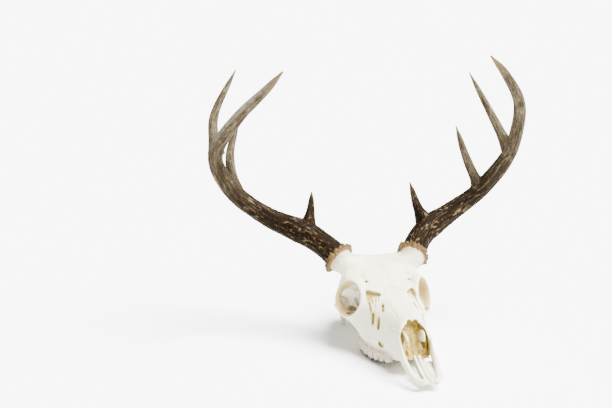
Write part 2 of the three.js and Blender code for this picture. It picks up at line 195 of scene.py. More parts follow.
def knit(obj, voxel, smooth):
    # one even skin over all that the object holds
    step = obj.modifiers.new("knit", "REMESH")
    step.mode = "VOXEL"
    step.voxel_size = voxel
    step = obj.modifiers.new("smooth", "SMOOTH")
    step.factor = 0.5
    step.iterations = smooth
    return freeze(obj)


def pointsOf(obj):
    co = np.empty(len(obj.data.vertices) * 3, np.float32)
    obj.data.vertices.foreach_get("co", co)
    return co.reshape(-1, 3).astype(float)


def normalsOf(obj):
    out = np.empty(len(obj.data.vertices) * 3, np.float32)
    obj.data.vertex_normals.foreach_get("vector", out)
    return out.reshape(-1, 3).astype(float)


def movePoints(obj, co):
    obj.data.vertices.foreach_set("co", co.astype(np.float32).ravel())
    obj.data.update()


def store(obj, name, values):
    # values per point that the materials read
    kind = "FLOAT_VECTOR" if values.ndim == 2 else "FLOAT"
    field = obj.data.attributes.new(name, kind, "POINT")
    field.data.foreach_set("vector" if values.ndim == 2 else "value", values.astype(np.float32).ravel())


def rise(low, high, values):
    t = np.clip((values - low) / (high - low), 0, 1)
    return t * t * (3 - 2 * t)


def speckle(points, seed):
    # smooth random values from -1 to 1 over space, one cell per unit
    cell = np.floor(points)
    inside = points - cell
    inside = inside * inside * (3 - 2 * inside)
    total = np.zeros(len(points))
    for corner in np.ndindex(2, 2, 2):
        at = cell + corner
        value = np.sin(at @ np.array([127.1, 311.7, 74.7]) + seed * 17.17) * 43758.5453
        weight = np.prod(np.where(np.array(corner) == 1, inside, 1 - inside), axis=1)
        total += weight * (2 * (value - np.floor(value)) - 1)
    return total


def awayFrom(points, path):
    # distance to a curve
    line = np.array(smoothPath(path, 48))
    best = np.full(len(points), np.inf)
    for a, b in zip(line, line[1:]):
        span = b - a
        t = np.clip((points - a) @ span / (span @ span), 0, 1)
        best = np.minimum(best, np.linalg.norm(points - a - t[:, None] * span, axis=1))
    return best


def waves(points, *kinds):
    # random waves of each (height, cell size, seed), added up
    return sum(height * speckle(points / cell, seed) for height, cell, seed in kinds)


def lumpy(obj, *kinds):
    # pushes the surface in and out by random waves
    co = pointsOf(obj)
    movePoints(obj, co + normalsOf(obj) * waves(co, *kinds)[:, None])


def hollowness(obj, rounds=12):
    # how far each point lies below the mean of the surface round it
    co = pointsOf(obj)
    ends = np.empty(len(obj.data.edges) * 2, np.int32)
    obj.data.edges.foreach_get("vertices", ends)
    a, b = ends.reshape(-1, 2).T
    count = np.bincount(a, minlength=len(co)) + np.bincount(b, minlength=len(co))
    soft = co.copy()
    for _ in range(rounds):
        near = np.stack([np.bincount(a, soft[b, k], len(co)) + np.bincount(b, soft[a, k], len(co))
                         for k in range(3)], axis=1)
        soft = 0.5 * (soft + near / count[:, None])
    return np.sum((soft - co) * normalsOf(obj), axis=1)


def finishPiece(obj, name, slot, material, *nodes):
    obj.name = name
    obj.data.name = name
    obj.data.polygons.foreach_set("use_smooth", [True] * len(obj.data.polygons))
    obj.data.transform(toRow)
    obj.data.materials.clear()
    obj.data.materials.append(material)
    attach(obj, "root")
    if nodes:
        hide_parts(*nodes)
    print("  ", name, len(obj.data.polygons), "faces")


# Materials.

def nodeTree(name):
    material = bpy.data.materials.new(name)
    material.use_nodes = True
    tree = material.node_tree
    shader = tree.nodes["Principled BSDF"]
    return material, tree, shader


def addNode(tree, kind, inputs=(), **settings):
    node = tree.nodes.new(kind)
    for key, value in settings.items():
        setattr(node, key, value)
    for key, value in dict(inputs).items():
        if isinstance(value, bpy.types.NodeSocket):
            tree.links.new(value, node.inputs[key])
        else:
            node.inputs[key].default_value = value
    return node


def fieldValue(tree, name, vector=False):
    return addNode(tree, "ShaderNodeAttribute", attribute_name=name).outputs["Vector" if vector else "Fac"]


def blendColour(tree, share, first, second):
    node = addNode(tree, "ShaderNodeMix", data_type="RGBA")
    for socket, value in ((node.inputs[0], share), (node.inputs[6], first), (node.inputs[7], second)):
        if isinstance(value, bpy.types.NodeSocket):
            tree.links.new(value, socket)
        else:
            socket.default_value = value
    return node.outputs[2]


def spread(tree, value, low, high, lowest=0.0, highest=1.0):
    node = addNode(tree, "ShaderNodeMapRange", {"Value": value, "From Min": low, "From Max": high,
                                                "To Min": lowest, "To Max": highest})
    return node.outputs["Result"]


def coat(tree, shader, look, colour, height):
    # colour, gloss and fine relief of a material
    tree.links.new(colour, shader.inputs["Base Color"])
    shader.inputs["Roughness"].default_value = look["roughness"]
    shader.inputs["Specular IOR Level"].default_value = look["gloss"]
    bump = addNode(tree, "ShaderNodeBump", {"Height": height, "Strength": look["bump"],
                                            "Distance": look["bumpDepth"]})
    tree.links.new(bump.outputs["Normal"], shader.inputs["Normal"])


def objectNoise(tree, scale, detail=3.0, roughness=0.55, vector=None):
    vector = vector or addNode(tree, "ShaderNodeTexCoord").outputs["Object"]
    return addNode(tree, "ShaderNodeTexNoise", {"Vector": vector, "Scale": scale, "Detail": detail,
                                                "Roughness": roughness}).outputs["Fac"]


bone = {
    "cream": (0.61, 0.58, 0.405, 1), "chalk": (0.66, 0.635, 0.49, 1), "pink": (0.60, 0.51, 0.40, 1),
    "ochre": (0.29, 0.195, 0.020, 1), "paleOchre": (0.37, 0.272, 0.058, 1), "tan": (0.42, 0.30, 0.115, 1),
    "seam": (0.30, 0.235, 0.145, 1), "grey": (0.05, 0.036, 0.031, 1), "roughness": 0.62, "gloss": 0.25,
    "bump": 0.18, "bumpDepth": 0.0006, "glow": 0.12, "glowReach": (0.004, 0.003, 0.002),
}


def boneMaterial(name):
    material, tree, shader = nodeTree(name)
    broad = objectNoise(tree, 38, 2)
    fine = objectNoise(tree, 420, 4)
    colour = blendColour(tree, spread(tree, broad, 0.35, 0.65), bone["cream"], bone["chalk"])
    patch = spread(tree, objectNoise(tree, 55, 3, 0.6), 0.60, 0.78, 0, 0.55)
    colour = blendColour(tree, patch, colour, bone["pink"])
    colour = blendColour(tree, spread(tree, fine, 0.62, 0.78, 0, 0.22), colour, bone["seam"])
    ochreShade = blendColour(tree, spread(tree, objectNoise(tree, 110, 3), 0.35, 0.65), bone["ochre"],
                             bone["paleOchre"])
    colour = blendColour(tree, fieldValue(tree, "ochre"), colour, ochreShade)
    # the tan, seam and grey fields carry real seams and tan as well as painted shade: in the sockets, in
    # hollows, by the teeth, on the stems and in the nose slit
    for field in ("tan", "seam", "grey"):
        colour = blendColour(tree, fieldValue(tree, field), colour, bone[field])
    shader.inputs["Subsurface Weight"].default_value = bone["glow"]
    shader.inputs["Subsurface Radius"].default_value = bone["glowReach"]
    pores = addNode(tree, "ShaderNodeTexVoronoi", {
        "Vector": addNode(tree, "ShaderNodeTexCoord").outputs["Object"], "Scale": 520.0}).outputs["Distance"]
    coat(tree, shader, bone, colour, blendColour(tree, 0.4, fine, pores))
    return material


horn = {
    "groove": (0.0022, 0.0010, 0.0003, 1), "dark": (0.0088, 0.0044, 0.0013, 1),
    "ridge": (0.14, 0.098, 0.048, 1), "ash": (0.031, 0.0225, 0.0115, 1), "pale": (0.155, 0.125, 0.078, 1),
    # highlight is the colour of a painted highlight on the upper beam
    "tip": (0.12, 0.078, 0.033, 1), "highlight": (0.27, 0.235, 0.17, 1), "roughness": 0.7, "gloss": 0.03,
    "bump": 0.45, "bumpDepth": 0.0008,
}


def hornMaterial(name):
    material, tree, shader = nodeTree(name)
    grain = fieldValue(tree, "grain", True)
    streak = objectNoise(tree, 1.0, 5, 0.6, grain)
    fineStreak = objectNoise(tree, 3.2, 4, 0.6, grain)
    along = fieldValue(tree, "along")
    relief = fieldValue(tree, "relief")
    low = blendColour(tree, spread(tree, streak, 0.35, 0.65), horn["groove"], horn["dark"])
    high = blendColour(tree, spread(tree, streak, 0.35, 0.65), horn["ash"], horn["pale"])
    ridged = spread(tree, relief, 0.42, 0.85)
    base = blendColour(tree, ridged, low, horn["ridge"])
    base = blendColour(tree, spread(tree, fineStreak, 0.58, 0.70, 0, 0.30), base, horn["ridge"])
    upper = blendColour(tree, spread(tree, relief, 0.0, 0.6), horn["ash"], high)
    # painted highlight on the upper beam where it faces forwards and up
    upper = blendColour(tree, spread(tree, fieldValue(tree, "litFront"), 0, 1, 0, 0.6), upper, horn["highlight"])
    colour = blendColour(tree, along, base, upper)
    colour = blendColour(tree, spread(tree, fineStreak, 0.47, 0.37, 0, 0.7), colour, horn["groove"])
    colour = blendColour(tree, fieldValue(tree, "tip"), colour, horn["tip"])
    coat(tree, shader, horn, colour, fineStreak)
    return material


burrShades = {"gold": (0.07, 0.038, 0.0062, 1), "bleached": (0.15, 0.10, 0.034, 1),
              "pit": (0.02, 0.0095, 0.0025, 1), "roughness": 0.6, "gloss": 0.15,
              "bump": 0.4, "bumpDepth": 0.0008}


def burrMaterial(name):
    material, tree, shader = nodeTree(name)
    noise = objectNoise(tree, 300, 4)
    worn = burrShades["bleached"]
    colour = blendColour(tree, spread(tree, noise, 0.5, 0.8, 0, 0.6), burrShades["gold"], worn)
    colour = blendColour(tree, fieldValue(tree, "pale"), colour, worn)
    colour = blendColour(tree, fieldValue(tree, "pit"), colour, burrShades["pit"])
    coat(tree, shader, burrShades, colour, noise)
    return material


enamel = {"cream": (0.58, 0.50, 0.33, 1), "darkLow": (0.022, 0.013, 0.008, 1), "root": (0.46, 0.37, 0.22, 1),
          "roughness": 0.35, "gloss": 0.5, "bump": 0.2, "bumpDepth": 0.0004}


def toothMaterial(name):
    material, tree, shader = nodeTree(name)
    mottle = objectNoise(tree, 260, 3)
    colour = blendColour(tree, spread(tree, mottle, 0.4, 0.7), enamel["cream"], enamel["root"])
    # darker towards the chewing face
    colour = blendColour(tree, fieldValue(tree, "darkLow"), colour, enamel["darkLow"])
    coat(tree, shader, enamel, colour, mottle)
    return material


boneLook = boneMaterial("bleachedBone")
hornLook = hornMaterial("antlerBone")
burrLook = burrMaterial("coronetBone")
toothLook = toothMaterial("toothEnamel")


print("stage 2: skull")

snout = {"sections": [
    (-124, 17, 22, 46, 13, 2.6, 3.0), (-100, 20.5, 33, 63, 13, 2.7, 3.4), (-80, 24.5, 34, 68, 11, 2.4, 4.0),
    (-58, 31.5, 34, 71.5, 9, 2.2, 4.0), (-36, 39, 38, 76, 9, 2.2, 3.6), (-14, 44, 48, 83, 11, 2.4, 2.8),
    (6, 36, 58, 91, 24, 2.8, 2.0), (30, 30, 62, 98, 30, 3.0, 2.0), (56, 32, 60, 101, 26, 2.6, 2.2)],
    "wall": 2.6, "palate": 13}
brow = {"sections": [
    (-26, 28, 73, 79, 64, 2.0, 1.6), (-12, 39.5, 79, 85, 70, 2.1, 1.5), (4, 48, 84, 91, 74, 2.3, 1.3),
    (22, 50.5, 86, 97, 76, 2.4, 1.3), (40, 46, 88, 102, 76, 2.4, 1.6), (60, 31, 85, 103, 70, 2.2, 2.0)]}
braincase = {"sections": [
    (44, 30, 64, 100, 30, 2.2, 2.2), (62, 34, 60, 100, 25, 2.1, 2.2), (80, 35, 56, 94, 21, 2.0, 2.4),
    (97, 33, 48, 85, 18, 2.0, 2.6), (110, 31, 43, 77, 19, 1.9, 2.4), (117, 20, 41, 62, 24, 2.0, 2.0)]}
orbit = {"left": {"at": (48, -1, 68), "yaw": 0.62}, "right": {"at": (51.8, -1, 68), "yaw": 0.44},
         "lift": 0.25, "lean": 0.3, "leanFrom": 4}
hornStem = {"root": (22, 38, 82), "waist": (33, 43.5, 92), "foot": (49.5, 51.5, 105.5),
            "toward": (64.5, 71.5, 119.5), "wide": [13, 16.8, 14.4, 17.6], "straight": 7, "gap": 0.3}
cheekArch = {"path": [(38, -26, 37), (45, -6, 42), (51.5, 16, 46), (51.5, 36, 46), (49, 54, 44), (44, 66, 42),
                      (34, 74, 41)],
             "wide": [4, 4, 3.2, 2.6, 2.6, 3.4, 6], "high": [13, 8, 5.5, 5, 4.5, 4.5, 6]}
smallBones = {
    "jaw joint": {"at": (37, 71, 38), "radii": (12, 8, 4.5), "turn": (0.15, 0.1, 0)},
    "ear bulb": {"at": (20, 88, 19), "radii": (8, 12, 10), "turn": (0, 0.2, -0.3)},
    "neck knuckle": {"at": (13, 116, 25), "radii": (8.5, 8.5, 12), "turn": (0.5, 0.35, 0)},
}
smallRods = {
    "ear tube": {"path": [(27, 89, 36), (41.5, 86, 39)], "wide": [9, 5.5]},
    "mastoid": {"path": [(24, 109, 64), (31, 103, 46), (29, 104, 26)],
                "wide": [4, 4.5, 6], "high": [5, 6.5, 7], "up": (0, 1, 0)},
    "throat plate": {"path": [(14, -16, 24), (12, 6, 24), (10, 24, 24), (10, 34, 30)],
                     "wide": [2.4, 1.5, 1.4, 1.4], "high": [10, 12, 10, 5]},
    "spur": {"path": [(28, 106, 34), (27, 106, 17), (25.8, 102, -3)],
             "wide": [6, 4.4, 2.5], "high": [8, 5.6, 3.6], "up": (0, 1, 0)},
    "socket strut": {"path": [(56.5, -2, 47.5), (50, 8, 50), (42, 18, 50.5), (32, 29, 48)],
                     "wide": [1.8, 1.1, 1.1, 2.0]},
    "tooth bed": {"path": [(20, -80, 17), (25, -62, 15), (29, -42, 14), (31.5, -24, 14), (32, -4, 15)],
                  "wide": [4.4, 5.4, 6.9, 7.4, 6.4], "high": [6, 6, 6, 6, 6]},
}
crownRidge = {"path": [(-44, 50, 101), (-28, 52, 101.5), (0, 56, 100), (28, 52, 101.5), (44, 50, 101)],
              "wide": [9, 11, 12, 11, 9], "high": [9, 8, 6.5, 8, 9], "up": (0, 0, 1)}
nuchalRidge = {"path": [(-27, 108, 62), (-17, 113, 75), (0, 115, 79), (17, 113, 75), (27, 108, 62)],
               "wide": [3, 4, 5, 4, 3], "high": [3, 3, 3.5, 3, 3], "up": (0, 1, 0)}
skullFloor = {"path": [(0, 2, 40), (0, 30, 31), (0, 70, 24), (0, 104, 20), (0, 114, 22)],
              "wide": [8, 8, 9, 13, 12], "high": [6, 5, 5, 5, 5]}


def eyeFrame(side):
    # local z runs out of the socket, sideways and a little forwards and up, local x to the back
    yaw = orbit[side]["yaw"]
    outward = Vector((math.cos(yaw), -math.sin(yaw), math.tan(orbit["lift"]))).normalized()
    back = Vector((math.sin(yaw), math.cos(yaw), 0))
    return (Matrix.Translation(orbit[side]["at"])
            @ Matrix((back, outward.cross(back), outward)).transposed().to_4x4())


def turned(profile, steps):
    # a profile of (radius, height) turned about the z axis
    bm = bmesh.new()
    line = [bm.verts.new((radius, 0, height)) for radius, height in profile]
    edges = [bm.edges.new(ends) for ends in zip(line, line[1:])]
    bmesh.ops.spin(bm, geom=line + edges, cent=(0, 0, 0), axis=(0, 0, 1), angle=2 * math.pi, steps=steps,
                   use_merge=True)
    bmesh.ops.remove_doubles(bm, verts=bm.verts, dist=0.01)
    bmesh.ops.recalc_face_normals(bm, faces=bm.faces)
    return bm


def eyePair(profile, lean=0.0):
    # a profile turned about each socket's axis, for the right side as a mirror image
    pair = []
    for side in ("left", "right"):
        bm = turned(profile, 56)
        for v in bm.verts:
            v.co.x += lean * max(0.0, -v.co.z - orbit["leanFrom"])
        bmesh.ops.transform(bm, matrix=eyeFrame(side), verts=bm.verts)
        if side == "right":
            bmesh.ops.scale(bm, vec=(-1, 1, 1), verts=bm.verts)
            bmesh.ops.reverse_faces(bm, faces=bm.faces)
        pair.append(newObject("shell", bm))
    return pair


def finer(profile, count):
    # the profile again through many points, its corners rounded
    return [(p.x, p.y) for p in smoothPath([(r, h, 0) for r, h in profile], count)]


def slab(low, high):
    bm = bmesh.new()
    size = [h - l for l, h in zip(low, high)]
    middle = [(l + h) / 2 for l, h in zip(low, high)]
    bmesh.ops.create_cube(bm, size=1, matrix=Matrix.Translation(middle) @ Matrix.Diagonal((*size, 1)))
    return newObject("slab", bm)


def behindLine(low, high, shift=0.0):
    # all that lies behind a slanting line in the side view, from a low (y, z) to a high one
    slope = math.atan2(high[0] - low[0], high[1] - low[1])
    bm = bmesh.new()
    bmesh.ops.create_cube(bm, size=400, matrix=(
        Matrix.Translation((0, low[0], low[1])) @ Matrix.Rotation(-slope, 4, "X")
        @ Matrix.Translation((0, 200 + shift, 0))))
    return newObject("slab", bm)


def underLine(back, front):
    # all that lies under a line in the side view that rises forwards, from a (y, z) to a (y, z)
    slope = math.atan2(front[1] - back[1], back[0] - front[0])
    bm = bmesh.new()
    bmesh.ops.create_cube(bm, size=1, matrix=(
        Matrix.Translation((0, back[0], back[1])) @ Matrix.Rotation(-slope, 4, "X")
        @ Matrix.Translation((0, -60, -40)) @ Matrix.Diagonal((120, 120, 80, 1))))
    return newObject("slab", bm)


def prism(corners, depth, soft=0.22):
    # a three-cornered hole with rounded corners, sunk square to the plane of its corners
    a, b, c = (Vector(p) for p in corners)
    along = (b - a).normalized()
    out = (b - a).cross(c - a).normalized()
    bm = bmesh.new()
    ring = []
    for before, corner, after in ((c, a, b), (a, b, c), (b, c, a)):
        start, end = corner.lerp(before, soft), corner.lerp(after, soft)
        for t in (0, 0.25, 0.5, 0.75, 1):
            spot = (1 - t) ** 2 * start + 2 * t * (1 - t) * corner + t * t * end
            ring.append(bm.verts.new(spot - out * depth))
    face = bm.faces.new(ring)
    wall = bmesh.ops.extrude_face_region(bm, geom=[face])["geom"]
    moved = [v for v in wall if isinstance(v, bmesh.types.BMVert)]
    bmesh.ops.translate(bm, vec=out * (depth + 12), verts=moved)
    bmesh.ops.recalc_face_normals(bm, faces=bm.faces)
    return newObject("hole", bm)


stemOut = (Vector(hornStem["toward"]) - Vector(hornStem["foot"])).normalized()
stemFoot = Vector(hornStem["foot"])
socketProfile = finer([(0, -26), (21, -26), (25, -12), (25.6, -5), (24.6, -0.4), (22.5, 1.0), (19, 0.4),
                       (0, 0)], 40)
hollowProfile = finer([(0, -34), (9, -30), (14.5, -19), (19.5, -9), (20.6, -2), (22.4, 2.5), (24, 9),
                       (0, 9)], 40)
stemPath = [hornStem["root"], hornStem["waist"]]
stemPath += [stemFoot - stemOut * hornStem[length] for length in ("straight", "gap")]

skull = lofted(snout["sections"], 72, 110)
noseCut = {"low": (-121, 10), "high": (-91, 68)}
carve(skull, [behindLine(**noseCut)], "INTERSECT")
tipNotch = {"at": (3.7, -94, 61), "radii": (3.3, 5.5, 8)}
parts = [lofted(brow["sections"], 56, 60), lofted(braincase["sections"], 64, 60)]
parts += eyePair(socketProfile)
parts += bothSides(rod(stemPath, hornStem["wide"], sides=36, rings=16, up=(0, 1, 0)))
parts.append(rod(**crownRidge, sides=32, rings=40))
carve(skull, parts, "UNION")

windows = {
    "left": {"corners": [(29, -13, 83), (16, -25, 80), (31, -42, 60)], "depth": 6},
    "right": {"corners": [(35, -11, 82), (15.5, -25, 80), (33.4, -41, 58.5)], "depth": 6},
}
slots = {
    "middle slot": {"path": [(31, -36, 63), (32.6, -42.3, 55.3), (34.1, -46, 46.5)], "wide": [1.2, 2.1, 0.9],
                    "high": [3, 4, 3], "up": (0.85, -0.3, 0.4)},
    "low slot": {"path": [(28.4, -50.5, 58), (29.9, -54.8, 51.4), (31, -56.8, 44)], "wide": [1.0, 2.2, 1.4],
                 "high": [3, 4, 3], "up": (0.85, -0.3, 0.4)},
    "slit": {"path": [(20, -37, 73), (21.7, -45, 68), (23.4, -52, 63)], "wide": [1.0, 2.0, 1.0],
             "high": [3, 4, 3], "up": (0.6, -0.2, 0.8)},
    "brow hole": {"path": [(29.5, -3, 92), (25, 12, 78)], "wide": [1.8, 1.6]},
    "second brow hole": {"path": [(32.5, 11, 97), (26, 22, 82)], "wide": [1.6, 1.4]},
    "cheek hole": {"path": [(36, -80, 26), (24, -54, 28)], "wide": [4.0, 3.2], "high": [3.6, 3.0]},
    "ear hole": {"path": [(50, 83, 41), (32, 90, 36)], "wide": [3, 2.6]},
    "sight hole": {"path": [(37, 21, 52), (14, 42, 44)], "wide": [4.6, 3.4], "high": [3.4, 2.6]},
    "throat hole": {"path": [(30, 40, 34), (10, 62, 34)], "wide": [3, 3]},
}
# The hollow of the nose follows the snout; near the opening its walls are thinner and its roof is rounder.
noseHollow = {"ahead": [12, 0, 0, 0, 0], "wider": [1.3, 1.2, 0.6, 0, 0],
              "roof": [1.95, 2.15, 2.35, 2.2, 2.2], "floor": 2.4}
throat = [(y - ahead, half + wider, mid, high, snout["palate"], roof, noseHollow["floor"])
          for (y, half, mid, high, *_), ahead, wider, roof
          in zip(snout["sections"], noseHollow["ahead"], noseHollow["wider"], noseHollow["roof"])]
palateEnd = {"low": (-14.5, -140, 0), "high": (14.5, -101, 20)}
cutters = [lofted(throat, 40, 40, snout["wall"]), slab(**palateEnd), underLine((-82, 7), (-114, 29))]
temples = [{"at": (43, 54, 61), "radii": (13, 26, 17)}, {"at": (-46, 46, 62), "radii": (15, 30, 19)}]
cutters += eyePair(hollowProfile, orbit["lean"])
cutters += [ball(**temple, fine=40) for temple in temples]
cutters.append(prism(**windows["left"]))
other = prism(**windows["right"])
cutters.append(mirrored(other))
bpy.data.objects.remove(other)
cutters += bothSides(ball(**tipNotch))
carve(skull, cutters)

parts = bothSides(rod(**cheekArch, sides=24, rings=70)) + [rod(**nuchalRidge), rod(**skullFloor)]
for shape in smallBones.values():
    parts += bothSides(ball(**shape))
for shape in smallRods.values():
    parts += bothSides(rod(**shape))
carve(skull, parts, "UNION")
toothBed = 9.6
neckHole = {"path": [(0, 86, 37), (0, 130, 33)], "wide": [8, 10]}
cutters = [rod(**neckHole, sides=32, rings=8), slab((-80, 80, -30), (80, 140, 0)),
           slab((-60, -90, -30), (60, 6, toothBed))]
for slot in slots.values():
    cutters += bothSides(rod(**slot, sides=16, rings=12))
carve(skull, cutters)
knit(skull, 1.0, smooth=6)

# The forehead and crown are smoothed further, in four strengths.
softArea = {"level": (76, 88), "front": (2, 22), "back": (100, 88), "side": (64, 52), "rounds": 60}
forehead = skull.vertex_groups.new(name="forehead")
co = pointsOf(skull)
softness = (rise(*softArea["level"], co[:, 2]) * rise(*softArea["front"], co[:, 1])
            * rise(*softArea["back"], co[:, 1]) * rise(*softArea["side"], np.abs(co[:, 0])))
for level in (0.25, 0.5, 0.75, 1.0):
    forehead.add(np.nonzero((softness > level - 0.25) & (softness <= level))[0].tolist(), level, "REPLACE")
step = skull.modifiers.new("soft", "SMOOTH")
step.factor = 0.5
step.iterations = softArea["rounds"]
step.vertex_group = "forehead"
freeze(skull)
skull.vertex_groups.clear()

# Dents (deep > 0) and swellings (deep < 0) along lines on the bone, given on the animal's left.
marks = [
    {"path": [(27, 30, 103), (29, 19, 96), (31, 8, 92), (28.5, -4, 88)], "wide": 3.2, "deep": 1.3},
    {"path": [(39, -27, 26), (36, -40, 27), (31, -60, 29.5), (27, -76, 32)], "wide": 2.2, "deep": -1.1},
    {"path": [(38, -24, 19), (35, -40, 19.5), (31, -58, 20), (26, -74, 21)], "wide": 5.0, "deep": 1.5},
    {"path": [(30, -64, 48), (27, -82, 50), (22, -100, 46)], "wide": 11, "deep": 1.6},
    {"path": [(36, -40, 50), (40, -30, 52)], "wide": 9, "deep": 1.4},
    {"path": [(33, 44, 104), (27, 62, 101), (23, 80, 95), (22, 98, 85)], "wide": 2.2, "deep": -0.9},
    {"path": [(12, 70, 99), (14, 85, 92), (12, 98, 84)], "wide": 9, "deep": -0.8},
    {"path": [(0, -104, 12), (0, -70, 10), (0, -30, 9), (0, -6, 11)], "wide": 13, "deep": 2.6},
    {"path": [(0, -70, 73), (0, -40, 77), (0, -18, 82)], "wide": 7, "deep": 0.9},
    {"path": [(20, 70, 27), (8, 72, 22)], "wide": 4, "deep": 1.4},
    {"path": [(5, 96, 17), (9, 106, 17)], "wide": 3, "deep": -1.2},
    {"path": [(14, 22, 96), (15, 36, 100)], "wide": 11, "deep": -1.0},
    {"path": [(13, 118, 60), (16, 117, 50)], "wide": 8, "deep": 2.4},
    {"path": [(0, 118, 77), (0, 119, 62), (0, 119, 48)], "wide": 3, "deep": -1.9},
    {"path": [(24, 110, 66), (30, 106, 52)], "wide": 3, "deep": -1.2},
    {"path": [(31, 60, 72), (34, 78, 66), (33, 92, 62)], "wide": 10, "deep": -1.4},
    {"path": [(30, 66, 44), (33, 84, 46)], "wide": 6, "deep": 1.5},
    {"path": [(8, 76, 22), (6, 100, 18)], "wide": 4, "deep": -1.0},
    {"path": [(45, -8, 38), (50, 6, 42), (52, 24, 45)], "wide": 2.4, "deep": -0.8},
]
# Ridges over the roots of the cheek teeth, where they stand out in the upper jaw.
toothRoots = [(23.4, -73), (26.8, -63.5), (29.9, -53.5), (33.6, -45), (34.2, -38.5), (36.3, -30.8),
              (36.6, -23.6), (37.2, -16), (37.2, -9)]
for x, y in toothRoots:
    marks.append({"path": [(x, y, 11), (x + 0.4, y, 17), (x + 0.2, y + 1, 23)], "wide": 1.9, "deep": -1.1})
# Painted shade: dark patches low in the eye sockets, on what faces forwards.
eyeShades = [{"at": (26.5, 36, 46), "reach": 13}, {"at": (42.5, 12, 48.5), "reach": 8},
             {"at": (52, 0, 47), "reach": 5}]
# Seams inside the sockets: places round the axis (radians) of lines running inwards, and the depth of a ring.
cupSeams = {"angles": [2.3, -0.5, -2.5], "ring": -20.5, "wide": 0.55}
# Seams between the bones, thin and ragged.
seams = [
    {"path": [(0, -16, 83), (0, 10, 92), (0, 40, 101), (0, 67, 102)], "wide": 0.9, "deep": 0.75},
    {"path": [(0, -92, 66), (0, -60, 73), (0, -16, 83)], "wide": 0.9, "deep": 0.7},
    {"path": [(0, -15, 83), (5, -13, 84), (10, -18, 82), (14.5, -27, 79)], "wide": 0.9, "deep": 0.75},
    {"path": [(12.5, -94, 60), (13, -74, 66), (13.5, -52, 70), (14.5, -28, 78)], "wide": 0.8, "deep": 0.6},
    {"path": [(19.5, -98, 52), (22, -84, 50), (24, -72, 55)], "wide": 0.7, "deep": 0.4},
    {"path": [(32, -46, 60), (38, -30, 48), (40, -22, 40), (41, -14, 30)], "wide": 0.7, "deep": 0.45},
    {"path": [(0, 67, 102), (10, 68, 101), (20, 72, 97), (30, 74, 88), (34, 72, 74)],
     "wide": 1.0, "deep": 0.85},
    {"path": [(34, 66, 70), (36, 80, 62), (34, 96, 56), (31, 103, 54)], "wide": 0.9, "deep": 0.75},
    {"path": [(0, 101, 84), (12, 100, 82), (24, 101, 70), (30, 102, 58)], "wide": 0.9, "deep": 0.75},
    {"path": [(0, 60, 21), (8, 60, 22), (16, 62, 26)], "wide": 0.8, "deep": 0.4},
    {"path": [(0, -100, 12), (0, -50, 9), (0, -14, 11)], "wide": 0.9, "deep": 0.75},
    {"path": [(0, -34, 9), (12, -36, 9), (20, -32, 10)], "wide": 0.7, "deep": 0.4},
]


def foldOver(points):
    # both sides of the head laid on the left one
    folded = points.copy()
    folded[:, 0] = np.abs(folded[:, 0])
    return folded


def inSnout(points, normals, inset):
    # true inside the hollow of the snout
    y = points[:, 1]
    ys, *columns = zip(*throat)
    half, mid, high, low = (np.interp(y, ys, column) for column in columns[:4])
    width = np.abs(points[:, 0]) / (half - inset)
    rising = points[:, 2] > mid
    tall = np.where(rising, (points[:, 2] - mid) / (high - inset - mid),
                    (mid - points[:, 2]) / (mid - low + 1))
    facing = normals[:, 0] * points[:, 0] / 20 + normals[:, 2] * (points[:, 2] - mid) / 30
    # well inside, or in a corner of the hollow and turned inwards
    near = (width ** 2.5 + np.abs(tall) ** 2.5 < 1) & (facing < 0.12)
    corner = (width ** 3.4 + np.abs(tall) ** 3.4 < 1) & (facing < -0.35)
    return (near | corner) & (y < -34)


def inPrism(points, corners, margin):
    # depth below the plane of a three-cornered hole, and -1 beside the hole
    a, b, c = (np.array(p, float) for p in corners)
    normal = np.cross(b - a, c - a)
    normal /= np.linalg.norm(normal)
    folded = foldOver(points)
    deep = -(folded - a) @ normal
    inside = np.ones(len(points), bool)
    for start, end in ((a, b), (b, c), (c, a)):
        inward = np.cross(normal, end - start)
        inward /= np.linalg.norm(inward)
        inside &= (folded - start) @ inward > -margin
    return np.where(inside, deep, -1)


# Random waves on the bone, and how strongly each tint shows: the seams, lines and slot rims, the tan and
# painted shade in the sockets, and the painted shade in hollows, by the teeth and on the stems.
boneLumps = [(0.28, 9, 4), (0.12, 3.2, 5), (0.05, 1.4, 6)]
strength = {"cup": 0.95, "deepCup": 0.30, "cupLines": 0.55, "seams": 0.7, "hollows": 0.6, "teeth": 0.95,
            "stems": 0.95, "slotRims": 0.22}
keptShare = 0.68

co = pointsOf(skull)
out = normalsOf(skull)
wobble = np.stack([speckle(co / 1.7, seed) for seed in (1, 2, 3)], axis=1)
push = np.zeros(len(co))
seamField = np.zeros(len(co))
for mark in marks:
    far = awayFrom(foldOver(co), mark["path"])
    push -= mark["deep"] * np.exp(-(far / mark["wide"]) ** 2)
for seam in seams:
    far = awayFrom(foldOver(co + 0.9 * wobble), seam["path"])
    line = np.exp(-(far / seam["wide"]) ** 2)
    push -= seam["deep"] * line
    seamField = np.maximum(seamField, line)
push = np.where(inSnout(co, out, 0.9), 0.0, push)
push += waves(co, (0.4, 4.2, 7)) * rise(100, 112, co[:, 1]) + waves(co, *boneLumps)
co += out * push[:, None]
# The ends of the two spurs stay flat.
co[:, 2] = np.where((co[:, 2] < 0.2) & (co[:, 1] > 80), np.maximum(co[:, 2], 0), co[:, 2])
movePoints(skull, co)

ochre = np.where(inSnout(co, out, 1.5), 1.0, 0.0)
for side, sign in (("left", 1), ("right", -1)):
    deep = inPrism(co, windows[side]["corners"], 1.0)
    sunk = rise(1.6, 2.8, deep) * rise(10, 8, deep)
    ochre = np.maximum(ochre, np.where(co[:, 0] * sign > 0, sunk, 0))
folded = foldOver(co)
foldedOut = out.copy()
foldedOut[:, 0] *= np.sign(co[:, 0])
